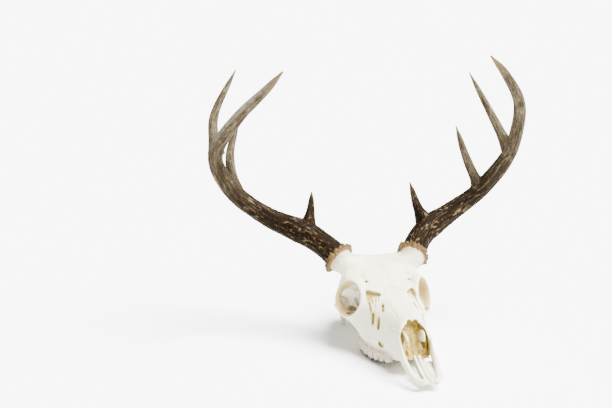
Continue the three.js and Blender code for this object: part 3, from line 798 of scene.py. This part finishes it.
# How far each point faces away from a line along the middle of the head.
core = {"y": [-124, -58, -14, 30], "z": [22, 36, 48, 60]}
aside = folded.copy()
aside[:, 2] -= np.interp(co[:, 1], core["y"], core["z"])
aside[:, 1] = 0
facingOut = np.sum(aside * foldedOut, axis=1) / (np.linalg.norm(aside, axis=1) + 1e-6)
unstained = ("throat hole", "ear hole", "sight hole")
for name, slot in slots.items():
    if name not in unstained:
        far = awayFrom(folded, slot["path"])
        reach = max(slot.get("high", slot["wide"]))
        ochre = np.maximum(ochre, rise(reach + 1.2, reach - 0.4, far) * rise(0.86, 0.62, facingOut))
        halo = rise(max(slot["wide"]) + 2.2, max(slot["wide"]), far)
        ochre = np.maximum(ochre, strength["slotRims"] * halo)
local = np.empty_like(co)
localOut = np.empty_like(co)
for side, chosen in (("left", co[:, 0] >= 0), ("right", co[:, 0] < 0)):
    turn = np.array(eyeFrame(side).to_3x3())
    local[chosen] = (folded[chosen] - np.array(orbit[side]["at"])) @ turn
    localOut[chosen] = foldedOut[chosen] @ turn
inwardFacing = -np.sum(localOut[:, :2] * local[:, :2], axis=1) / (np.linalg.norm(local[:, :2], axis=1) + 1e-6)
leaning = orbit["lean"] * np.maximum(0, -local[:, 2] - orbit["leanFrom"])
radial = np.hypot(local[:, 0] - leaning, local[:, 1])
cup = {"radius": 23, "rim": 1.2, "end": -34, "shadeEnd": {"left": -30.0, "right": -18.0}}
inCup = (radial < cup["radius"]) & (local[:, 2] < cup["rim"]) & (local[:, 2] > cup["end"])
edge = local[:, 2] + 1.6 * speckle(co / 3.5, 45)
shadeEnd = np.where(co[:, 0] > 0, cup["shadeEnd"]["left"], cup["shadeEnd"]["right"])
# The tan in the sockets is partly the bone's own tan and partly painted shade: on the walls near the rim that
# face the socket's middle, ending at a different depth in each socket, and darker deeper in.
rimShade = rise(0.15, 0.5, inwardFacing) * rise(0, 9, edge - shadeEnd)
deepShade = strength["deepCup"] * rise(-14, -30, edge) * (0.5 + 0.5 * speckle(co / 4, 46))
tanField = np.where(inCup, np.maximum(rimShade, deepShade), 0.0)
store(skull, "ochre", ochre)
store(skull, "tan", strength["cup"] * tanField)
# painted shade low on the upper jaw beside the cheek teeth
nearTeeth = rise(27, 17, co[:, 2]) * rise(24, 10, np.abs(co[:, 1] + 40) - 34) * (np.abs(co[:, 0]) > 14)
# random blotches that vary how strongly the tints show
blotchy = 0.5 + 0.5 * speckle(co / 2.6, 8)
inDeepCup = np.zeros(len(co))
for shade in eyeShades:
    far = np.linalg.norm(folded - np.array(shade["at"]), axis=1)
    ragged = far + 2.2 * speckle(co / 3.2, 9)
    inDeepCup = np.maximum(inDeepCup, rise(shade["reach"], shade["reach"] - 3.5, ragged))
# painted shade in the hollows of the bone
crevice = strength["hollows"] * rise(0.10, 0.75, hollowness(skull)) * (0.6 + 0.4 * blotchy)
around = np.arctan2(local[:, 1], local[:, 0]) + 0.10 * wobble[:, 0]
lineGaps = [np.abs(np.sin((around - angle) / 2)) * 2 * radial for angle in cupSeams["angles"]]
lineGaps.append(np.abs(edge + 1.5 * wobble[:, 1] - cupSeams["ring"]))
cupLines = np.exp(-(np.min(lineGaps, axis=0) / cupSeams["wide"]) ** 2) * (inCup & (local[:, 2] < -9))
# painted shade on the stems just under the coronets
upStem = (folded - np.array(stemFoot)) @ np.array(stemOut) + 3 * speckle(co / 4, 47)
stemShade = strength["stems"] * rise(-17, -3, upStem) * (folded[:, 2] > 88) * (0.7 + 0.3 * blotchy)
toothShade = strength["teeth"] * nearTeeth * (0.4 + 0.6 * blotchy)
# the seam field holds the seams and the lines in the sockets, and also painted shade in hollows, by the teeth
# and on the stems
store(skull, "seam", np.max([strength["seams"] * seamField, strength["cupLines"] * cupLines, crevice,
                             toothShade, stemShade], axis=0))
# the painted shade in the sockets shows only on what faces forwards
forwards = np.array([0.25, -0.95, 0.2])
inDeepCup *= rise(0.0, 0.25, foldedOut @ forwards)
store(skull, "grey", np.clip(inDeepCup * (0.55 + 0.45 * blotchy), 0, 1))

# Fewer faces where the bone is flat.
step = skull.modifiers.new("thin", "DECIMATE")
step.ratio = keptShare
freeze(skull)
finishPiece(skull, "skull", "bone", boneLook, "frontal", "braincase", "occipital", "skull_base",
            *(f"{part}_{side}" for side in ("left", "right")
              for part in ("nasal", "maxilla", "ear_bulb", "eye_socket", "cheekbone")))

print("stage 3: inner nose, nose bones and teeth")


def joined(objs):
    first = objs[0]
    for other in objs[1:]:
        bm = bmesh.new()
        bm.from_mesh(first.data)
        bm.from_mesh(other.data)
        bm.to_mesh(first.data)
        bm.free()
        bpy.data.objects.remove(other)
    return first


noseBones = {
    "bar": {"path": [(20.0, -89, 47), (19.3, -105, 34), (18.7, -124, 24.2), (16.6, -141, 16.4),
                     (12.2, -154, 12.2), (5.4, -160, 11)],
            "wide": [1.4, 1.8, 2.9, 3.5, 4.1, 4.2], "high": [10.5, 10.5, 6.2, 4.2, 3.6, 3.2]},
    "spine": {"path": [(3.2, -160, 11), (3.3, -142, 13), (3.2, -122, 20), (3.2, -106, 29), (3.2, -98, 33)],
              "wide": [3.2, 2.9, 2.7, 2.1, 1.6], "high": [2.4, 2.6, 2.8, 2.8, 1.8]},
    "root": {"path": [(3.5, -124, 19), (3.6, -108, 17), (4, -92, 14)],
             "wide": [1.8, 1.8, 2.4], "high": [3, 3.5, 3]},
}
# On the left a shelf of bone narrows the slit beside the spine.
noseShelf = {"path": [(10, -152, 11.5), (11.4, -138, 14.5), (12.2, -120, 18.5), (12.4, -110, 21),
                      (12.4, -100, 22)],
             "wide": [4, 5, 6.8, 8, 8], "high": [1.8, 1.6, 1.6, 1.5, 1.4]}
noseSkin = {"gap": 0.15, "voxel": 0.7}


def noseBone(shelf):
    bar = rod(**noseBones["bar"], sides=36, rings=80)
    carve(bar, [rod(**noseBones[name], sides=24, rings=60) for name in ("spine", "root")], "UNION")
    if shelf:
        carve(bar, [rod(**noseShelf, sides=24, rings=40)], "UNION")
    carve(bar, [slab((-40, -190, -10), (noseSkin["gap"], -60, 80)), behindLine(**noseCut, shift=-0.1)])
    knit(bar, noseSkin["voxel"], smooth=4)
    lumpy(bar, (0.25, 7, 11), (0.1, 2.5, 12))
    return bar


def plain(obj, **fields):
    # fills the bone fields that a piece doesn't work out for itself
    for name in ("ochre", "tan", "seam", "grey"):
        value = fields.get(name, 0.0)
        store(obj, name, np.full(len(obj.data.vertices), value) if np.isscalar(value) else value)
    return obj


leftNose = noseBone(True)
other = noseBone(False)
rightNose = mirrored(other)
bpy.data.objects.remove(other)
for piece, side in ((leftNose, "left"), (rightNose, "right")):
    co = pointsOf(piece)
    inner = rise(-113, -102, co[:, 1] + 2 * speckle(co / 3, 50)) * rise(17.5, 15.5, np.abs(co[:, 0]))
    # painted shade in the hollows of the bone
    crevice = 0.7 * rise(0.08, 0.6, hollowness(piece))
    # painted shade on the walls of the spine that face the slit beside it, towards its back
    aside = normalsOf(piece)[:, 0] * np.sign(co[:, 0])
    slitShade = rise(0.1, 0.6, aside) * rise(8.5, 7, np.abs(co[:, 0])) * rise(-156, -146, co[:, 1])
    tipSpot = rise(2.6, 1.2, np.linalg.norm(np.abs(co) - np.array([6.5, 163, 10]), axis=1))
    mottled = 0.12 * rise(0.2, 0.8, speckle(co / 5, 49))
    plain(piece, ochre=0.8 * inner, tan=np.maximum(0.85 * slitShade, 0.6 * tipSpot), grey=0.55 * slitShade,
          seam=np.maximum(crevice, mottled))
    finishPiece(piece, "noseBone" + side.title(), "bone", boneLook, "premaxilla_" + side)

# A dried lining across the nose behind its opening, with folds and hollows, and a floor in front of its hem.
curtain = {"front": 11.0, "back": 17.0, "hem": 20.5, "gap": 0.4, "fold": 0.9, "voxel": 0.7,
           "lumps": [(0.9, 3.0, 52), (0.5, 1.3, 53)]}
curtainHollows = [{"at": (8.5, -104, 27), "radii": (3.0, 6, 4)}, {"at": (15, -95, 36), "radii": (2.0, 5, 7)}]
noseFloor = {"path": [(0, -108, 22.2), (0, -96, 21.6)], "wide": [18.0, 18.4], "high": [1.3, 1.3]}
lining = lofted(throat, 60, 60, snout["wall"] + curtain["gap"])
carve(lining, [behindLine(**noseCut, shift=curtain["front"])], "INTERSECT")
cutters = [behindLine(**noseCut, shift=curtain["back"]), slab((-40, -140, -10), (40, -60, curtain["hem"])),
           underLine((-82, 8.5), (-114, 30.5))]
for hollow in curtainHollows:
    cutters += bothSides(ball(**hollow))
carve(lining, cutters)
carve(lining, [rod(**noseFloor, sides=40, rings=12)], "UNION")
knit(lining, curtain["voxel"], smooth=3)
co = pointsOf(lining)
slope = math.atan2(noseCut["high"][0] - noseCut["low"][0], noseCut["high"][1] - noseCut["low"][1])
forwardOut = np.array([0, -math.cos(slope), math.sin(slope)])
fold = np.sin(co[:, 0] * 0.85 + 1.3 * speckle(co / 6, 51)) * rise(2, 7, np.abs(co[:, 0]))
push = curtain["fold"] * fold + waves(co, *curtain["lumps"])
co += normalsOf(lining) * (push * rise(-0.2, 0.5, normalsOf(lining) @ forwardOut))[:, None]
movePoints(lining, co)
facingDown = rise(-0.1, -0.5, normalsOf(lining)[:, 2])
under = np.maximum(facingDown, rise(13, 15.5, np.abs(co[:, 0]))) * rise(24.5, 23, co[:, 2])
plain(lining, ochre=1 - 0.6 * under, seam=0.15 * rise(0.0, 0.7, speckle(co / 4, 54)))
finishPiece(lining, "noseLining", "bone", boneLook)

# The pale ends of the scrolls of bone, in front of the lining.
scroll = {"path": [(10.2, -88, 47), (10.6, -99, 46.5), (10.2, -106, 45), (9.8, -109, 43)],
          "wide": [2.0, 2.6, 2.2, 0.7], "high": [5.5, 6.4, 5.2, 1.6], "up": (0.25, 0, 1)}
groove = {"path": [(13.2, -92, 47), (13.0, -104, 45.5), (12.4, -110, 44)], "wide": [1.1, 1.1, 1.2],
          "high": [3.2, 3.2, 2.6]}
leftScroll = carve(rod(**scroll, sides=28, rings=40), [rod(**groove, sides=16, rings=16)])
knit(leftScroll, 0.5, smooth=2)
for piece, side in ((leftScroll, "Left"), (mirrored(leftScroll), "Right")):
    lumpy(piece, (0.35, 2.4, 55))
    co = pointsOf(piece)
    plain(piece, ochre=0.08 + 0.6 * rise(-106, -97, co[:, 1] + 1.5 * speckle(co / 3, 56)))
    finishPiece(piece, "noseScroll" + side, "bone", boneLook)

wall = {"corners": [(-100, 21), (-101, 27), (-95, 40), (-87, 54), (-60, 60), (-60, 14), (-91, 15.5)],
        "thick": 1.3}
bm = bmesh.new()
sheet = bm.faces.new([bm.verts.new((-wall["thick"] / 2, y, z)) for y, z in wall["corners"]])
grown = bmesh.ops.extrude_face_region(bm, geom=[sheet])["geom"]
moved = [v for v in grown if isinstance(v, bmesh.types.BMVert)]
bmesh.ops.translate(bm, vec=(wall["thick"], 0, 0), verts=moved)
bmesh.ops.recalc_face_normals(bm, faces=bm.faces)
septum = newObject("wall", bm)
knit(septum, 0.6, smooth=3)
co = pointsOf(septum)
co[:, 0] += waves(co, (0.8, 9, 57), (0.3, 3, 58))
movePoints(septum, co)
plain(septum, ochre=0.9)
finishPiece(septum, "noseWall", "bone", boneLook)

# Yellow inner bone close behind the windows and slots.
backing = {"front": 3.5, "back": 5.1, "low": (8, -88, 19), "high": (60, -9, 92)}
inner = lofted(snout["sections"], 72, 110, backing["front"])
carve(inner, [slab(backing["low"], backing["high"])], "INTERSECT")
carve(inner, [lofted(snout["sections"], 72, 110, backing["back"])] + eyePair(socketProfile))
knit(inner, 0.7, smooth=2)
for piece, side in ((inner, "Left"), (mirrored(inner), "Right")):
    lumpy(piece, (0.4, 4, 59))
    plain(piece, ochre=0.6 + 0.35 * rise(68, 61, pointsOf(piece)[:, 2]))
    finishPiece(piece, "innerWall" + side, "bone", boneLook)

# Thin leaves of bone across each window, the last one crossing the others.
leaves = [
    {"path": [(30.3, -22, 69.6), (29.8, -28, 64.6), (31.4, -36, 57.6)], "wide": [0.7, 0.9, 0.7],
     "high": [2, 2.6, 2]},
    {"path": [(25.8, -21, 72.6), (27.3, -29, 65.6), (30.3, -37, 58.6)], "wide": [0.9, 1.2, 0.8],
     "high": [2, 3, 2]},
    {"path": [(21.3, -24, 73.6), (24.3, -31, 67.6), (29.4, -38, 59.2)], "wide": [0.8, 1.0, 0.7],
     "high": [2, 3, 2]},
    {"path": [(18, -25, 75.4), (21.3, -32, 69.6), (28.4, -39, 59.6)], "wide": [1.1, 1.4, 0.8],
     "high": [2.2, 3, 2]},
    {"path": [(19, -28, 71.6), (25, -28, 67.6), (31, -28, 63.6)], "wide": [0.8, 1.0, 0.8],
     "high": [1.4, 1.6, 1.4]},
]
leftLeaves = rod(**leaves[0], sides=16, rings=24)
carve(leftLeaves, [rod(**leaf, sides=16, rings=24) for leaf in leaves[1:]], "UNION")
knit(leftLeaves, 0.5, smooth=3)
for piece, side in ((leftLeaves, "Left"), (mirrored(leftLeaves), "Right")):
    plain(piece)
    finishPiece(piece, "sieveLeaves" + side, "bone", boneLook)

teeth = {
    "crowns": [(21.5, -73, 8.5, 7.5, 4.4, 1), (24.5, -63.5, 9.5, 9, 2.2, 1), (27.3, -53.5, 9.8, 11, 0.6, 1),
               (29.6, -41.8, 13, 12.5, 0, 2), (31.5, -27.3, 14.6, 13, 0, 2), (32.3, -12.5, 14, 12, 0, 2)],
    "root": 16.0, "cusp": 4.6, "valley": 4.8, "rib": 0.10, "waist": 0.42,
}


def tooth(x, y, long, wide, foot, lobes):
    # from the root down to the rim of the chewing face, then inwards over its cusps
    levels = [(0.82, teeth["root"]), (0.87, 13), (0.92, 10.5), (0.96, 8.6), (1.0, 6.8), (0.985, 5.2)]
    levels += [(reach, -1) for reach in (0.94, 0.84, 0.72, 0.58, 0.42, 0.26, 0.1)]

    def surface(share, angle):
        reach, level = levels[round(share * (len(levels) - 1))]
        along = power(math.cos(angle), 0.48)
        beside = power(math.sin(angle), 0.62)
        lobe = math.cos(math.pi * lobes * (along + 1))  # 1 between lobes and at the ends, -1 amid a lobe
        edge = 1 - teeth["waist"] * max(0.0, lobe) ** 2 * (0.6 if beside > 0 else 1.0)
        if beside > 0:
            edge += teeth["rib"] * abs(lobe)
        u, v = reach * along, reach * beside * edge
        if level < 0:
            peak = 0.5 + 0.5 * math.cos(math.pi * lobes * (u + 1))  # valleys between the cusps
            outer = teeth["cusp"] * peak * (1.0 if v > 0 else 0.6)
            ridge = math.exp(-((abs(v) - 0.62) / 0.22) ** 2)
            level = foot + outer + (0.9 if v < 0 else 0.0) + (teeth["valley"] - outer) * (1 - ridge) * 0.8
        else:
            level += foot * 0.5
        return Vector((x + 0.5 * wide * v, y + 0.5 * long * u, level))

    obj = rolled(len(levels), 44, surface)
    step = obj.modifiers.new("round", "SUBSURF")
    step.levels = step.render_levels = 1
    return freeze(obj)


rowX, rowY = list(zip(*teeth["crowns"]))[:2]
leftTeeth = joined([tooth(*crown) for crown in teeth["crowns"]])
for piece, side in ((leftTeeth, "Left"), (mirrored(leftTeeth), "Right")):
    co = pointsOf(piece)
    # Random waves make the edge ragged; the crowns are darker towards the chewing face, and low on the inner
    # side.
    shade = waves(co, (0.25, 1.5, 21), (0.2, 4, 22))
    outerSide = np.abs(co[:, 0]) > np.interp(co[:, 1], rowY, rowX)
    gumLine = 0.8 * np.interp(co[:, 1], [-73, -53, -12], [4.4, 0.6, 0])
    darkLow = rise(6.4, 2.6, co[:, 2] - gumLine + 3.0 * shade)
    darkLow = np.maximum(darkLow, np.where(outerSide, 0, 0.75 * rise(6.5, 3.5, co[:, 2] + 2 * shade)))
    store(piece, "darkLow", darkLow)
    finishPiece(piece, "cheekTeeth" + side, "bone", toothLook)

print("stage 4: antlers")

beamWide = [15.6, 15.2, 15.8, 13.4, 11.8, 11.4, 11, 9.6, 9, 8.2, 7.2, 6, 4.4, 1.4]
antlers = {
    "left": {
        "beam": [(49.5, 51.5, 105.5), (64.5, 71.5, 119.5), (84, 88, 132), (127, 109, 150), (165, 113, 175),
                 (193, 97, 218), (199, 85, 244), (193, 59, 298), (161, 33, 339), (125, 2, 367)],
        "brow": [(84, 90, 132), (71, 95, 158), (58, 95, 194)],
        "second": [(166, 113, 177), (149, 126, 219), (138, 140, 260)],
        "third": [(197, 91, 232), (178, 100, 270), (149, 128, 334)]},
    "right": {
        "beam": [(-49.5, 51.5, 105.5), (-64.5, 71.5, 119.5), (-83, 88, 131), (-130, 109, 151),
                 (-173, 113, 183), (-200, 99, 224), (-201, 88, 246), (-179, 61, 289), (-152, 31, 325),
                 (-140, -6, 351)],
        "brow": [(-83, 90, 131), (-77, 95, 158), (-75.5, 95, 186)],
        "second": [(-173, 114, 184), (-177, 126, 231), (-163, 140, 274)],
        "third": [(-201, 92, 238), (-202, 108, 280), (-169.5, 128, 341)]},
}
tineWide = {"brow": [17, 11.2, 7.0, 5.2, 3.5, 1.0], "second": [12, 7.2, 6.2, 5.2, 3.8, 1],
            "third": [11, 7, 5.8, 4.8, 3.4, 1]}
# For each tine: how high up the antler it starts, how fast its look climbs, and how rough and pearly it is.
tineSkin = {"brow": {"start": 0.12, "climb": 0.45, "rough": 0.9, "pearls": 0.8},
            "second": {"start": 0.42, "climb": 1.0, "rough": 0.5, "pearls": 0.24},
            "third": {"start": 0.6, "climb": 1.0, "rough": 0.5, "pearls": 0.24}}
antlerSkin = {"voxel": 0.85, "smooth": 4, "ridge": 0.85, "pearl": 0.8, "start": 0.014,
              "front": (-0.62, -0.35, 0.70), "grain": (4.0, 4.0, 28)}
# Sizes of the grooves and pearls: twice round the girth, then along the antler.
grooveCells = {"broad": (4.4, 4.4, 34), "mid": (2.4, 2.4, 17), "fine": (1.4, 1.4, 9),
               "pearls": (2.6, 2.6, 3.6)}


def alongCurve(points, path, count=260):
    # for each point: distance to the curve, place along it, way round it
    line = np.array(smoothPath(path, count))
    way = np.gradient(line, axis=0)
    way /= np.linalg.norm(way, axis=1)[:, None]
    nearest = np.empty(len(points), int)
    for start in range(0, len(points), 20000):
        block = points[start:start + 20000]
        gap = ((block[:, None, :] - line[None, :, :]) ** 2).sum(axis=2)
        nearest[start:start + 20000] = gap.argmin(axis=1)
    side = np.zeros_like(line)
    side[0] = np.cross(way[0], (0.3, 1, -0.4))
    for i in range(1, count):
        side[i] = side[i - 1] - way[i] * (side[i - 1] @ way[i])
        side[i] /= np.linalg.norm(side[i])
    side[0] /= np.linalg.norm(side[0])
    other = np.cross(way, side)
    away = points - line[nearest]
    x = (away * side[nearest]).sum(axis=1)
    y = (away * other[nearest]).sum(axis=1)
    length = np.linalg.norm(np.diff(line, axis=0), axis=1).sum()
    return np.hypot(x, y), nearest / (count - 1), np.arctan2(y, x), length


def antler(side):
    paths = antlers[side]
    seed = 30 if side == "left" else 60
    beam = smoothPath(paths["beam"], 40, antlerSkin["start"])
    body = rod(beam, beamWide, sides=40, rings=200, up=(0.3, 1, -0.4))
    tines = [rod(paths[name], tineWide[name], sides=28, rings=90, up=(0.2, 1, 0)) for name in tineWide]
    carve(body, tines, "UNION")
    knit(body, antlerSkin["voxel"], smooth=antlerSkin["smooth"])
    co = pointsOf(body)
    out = normalsOf(body)
    total, along, tip, relief, push = np.zeros((5, len(co)))
    grain = np.zeros((len(co), 3))
    for i, (name, path) in enumerate(paths.items()):
        far, place, angle, length = alongCurve(co, path)
        shares = np.linspace(0, 1, 201)
        wide = [between(tineWide.get(name, beamWide), share) for share in shares]
        girth = np.interp(place, shares, wide)
        weight = np.exp(-np.maximum(far - girth, 0) / 1.5) + 1e-6
        if name != "beam":
            weight *= rise(0.0, 0.12, place)
        travelled = place * length
        turn = np.stack([np.cos(angle) * girth, np.sin(angle) * girth, travelled], axis=1)
        broad = speckle(turn / grooveCells["broad"], seed + i)
        mid = speckle(turn / grooveCells["mid"] + 7, seed + i + 5)
        fine = speckle(turn / grooveCells["fine"] + 3, seed + i + 9)
        lines = np.max([0.9 * np.exp(-(broad / 0.085) ** 2), 0.75 * np.exp(-(mid / 0.09) ** 2),
                        0.5 * np.exp(-(fine / 0.12) ** 2)], axis=0)
        ridges = 0.35 * (1 - 2 * np.abs(broad)) + 0.2 * (1 - 2 * np.abs(mid)) + 0.15 * fine + 0.5 * lines
        pearls = np.maximum(0, speckle(turn / grooveCells["pearls"], seed + i + 12)) ** 1.5
        if name == "beam":
            beamShare = weight
            height = place
            rough = 1 - 0.55 * rise(0.25, 0.6, place) - 0.42 * rise(0.7, 1.0, place)
            pearly = rise(0.5, 0.05, place)
        else:
            skin = tineSkin[name]
            height = skin["start"] + (1 - skin["start"]) * place * skin["climb"]
            rough = (1 - 0.5 * rise(0.3, 0.9, place)) * skin["rough"]
            pearly = skin["pearls"] * rise(0.35, 0.0, place)
        slim = np.clip(girth / 8, 0.15, 1)
        total += weight
        relief += weight * (0.12 + 0.1 * broad + 0.8 * lines * (0.6 + 0.4 * fine) + 0.5 * pearls * pearly)
        lift = antlerSkin["ridge"] * rough * (ridges - 0.3) + antlerSkin["pearl"] * pearls * pearly
        push += weight * slim * lift
        along += weight * height
        tip += weight * rise(0.86, 1.0, place)
        grain += weight[:, None] * turn / antlerSkin["grain"]
    for field in (relief, push, along, tip):
        field /= total
    grain /= total[:, None]
    movePoints(body, co + out * push[:, None])
    store(body, "relief", np.clip(relief, 0, 1))
    store(body, "along", rise(0.26, 0.80, along))
    # painted highlight: the upper beam is lighter where it faces forwards and up
    litFront = rise(0.5, 0.95, out @ np.array(antlerSkin["front"])) * rise(0.45, 0.8, along)
    store(body, "litFront", litFront * beamShare / total * (0.8 + 0.2 * relief))
    store(body, "tip", 0.8 * tip)
    store(body, "grain", grain)
    stretches = ("lower_beam", "middle_beam", "upper_beam", "brow_tine", "second_tine", "third_tine")
    finishPiece(body, "antler" + side.title(), "antler", hornLook, *(f"{part}_{side}" for part in stretches))


for side in ("left", "right"):
    antler(side)

coronetShape = {
    "profile": [(0, -3), (16.2, -3), (19.2, -1.6), (20.4, 1.6), (18.8, 4.4), (15.8, 6.4), (0, 6.6)],
    "radius": 19.6, "low": -0.4, "step": 2.3, "knobs": 25, "knob": 2.7, "rows": 3, "voxel": 0.6,
    "large": {"left": [(0.9, 3.8), (2.7, 3.4), (4.6, 4.0)], "right": [(0.4, 3.5), (2.2, 4.0), (5.2, 3.7)]}}


def coronet(side):
    # a ring of bone with knobs all round it, square to the beam
    sign = 1 if side == "left" else -1
    foot = Vector((sign * stemFoot.x, stemFoot.y, stemFoot.z))
    axis = Vector((sign * stemOut.x, stemOut.y, stemOut.z))
    place = Matrix.Translation(foot) @ axis.to_track_quat("Z", "Y").to_matrix().to_4x4()
    pick = np.random.default_rng(7 if side == "left" else 8)
    bm = turned(coronetShape["profile"], 64)
    for angle, size in coronetShape["large"][side]:
        at = (coronetShape["radius"] * math.cos(angle), coronetShape["radius"] * math.sin(angle), 1.5)
        bmesh.ops.create_icosphere(bm, subdivisions=2, radius=size, matrix=Matrix.Translation(at))
    for row in range(coronetShape["rows"]):
        for k in range(coronetShape["knobs"]):
            angle = 2 * math.pi * (k + 0.5 * row + pick.uniform(-0.45, 0.45)) / coronetShape["knobs"]
            reach = coronetShape["radius"] - 0.7 * abs(row - 1.3) ** 1.5 + pick.uniform(-1.6, 1.0)
            size = coronetShape["knob"] * pick.uniform(0.35, 1.2) * (1 - 0.10 * row)
            height = coronetShape["low"] + coronetShape["step"] * row + pick.uniform(-0.6, 0.6)
            at = (reach * math.cos(angle), reach * math.sin(angle), height)
            bmesh.ops.create_icosphere(bm, subdivisions=2, radius=size, matrix=Matrix.Translation(at))
    bmesh.ops.transform(bm, matrix=place, verts=bm.verts)
    ring = newObject("coronet", bm)
    knit(ring, coronetShape["voxel"], smooth=2)
    co = pointsOf(ring)
    lumpy(ring, (0.35, 2.2, 41), (0.18, 1.1, 42))
    local = (co - np.array(foot)) @ np.array(place.to_3x3())
    radius = np.hypot(local[:, 0], local[:, 1])
    noise = speckle(co / 3, 43)
    store(ring, "pale", 0.8 * rise(-0.6, -3.0, local[:, 2] + 1.2 * noise))
    store(ring, "pit", 0.85 * rise(21.4, 19.6, radius + 0.8 * noise) * rise(-1.5, 2.5, local[:, 2]))
    finishPiece(ring, "coronet" + side.title(), "burr", burrLook, "burr_" + side)


for side in ("left", "right"):
    coronet(side)

print("stage 5: floor and light")

studio = {"reach": 14.0, "floor": (0.94, 0.94, 0.945, 1), "sky": 0.85,
          "sun": {"from": (1.05, -0.62, 2.2), "angle": 0.75, "strength": 29.0}}

bm = bmesh.new()
bmesh.ops.create_grid(bm, x_segments=2, y_segments=2, size=studio["reach"])
floor = newObject("floor", bm)
floorLook, floorTree, floorShader = nodeTree("paleFloor")
floorShader.inputs["Base Color"].default_value = studio["floor"]
floorShader.inputs["Roughness"].default_value = 0.9
floorShader.inputs["Specular IOR Level"].default_value = 0.0
floor.data.materials.append(floorLook)

world = bpy.data.worlds.new("studio")
world.use_nodes = True
world.node_tree.nodes["Background"].inputs[0].default_value = (1, 1, 1, 1)
world.node_tree.nodes["Background"].inputs[1].default_value = studio["sky"]
scene.world = world

sunData = bpy.data.lights.new("sun", "SUN")
sunData.energy = studio["sun"]["strength"]
sunData.angle = studio["sun"]["angle"]
sun = bpy.data.objects.new("sun", sunData)
sun.matrix_world = Vector(studio["sun"]["from"]).to_track_quat("Z", "Y").to_matrix().to_4x4()
scene.collection.objects.link(sun)
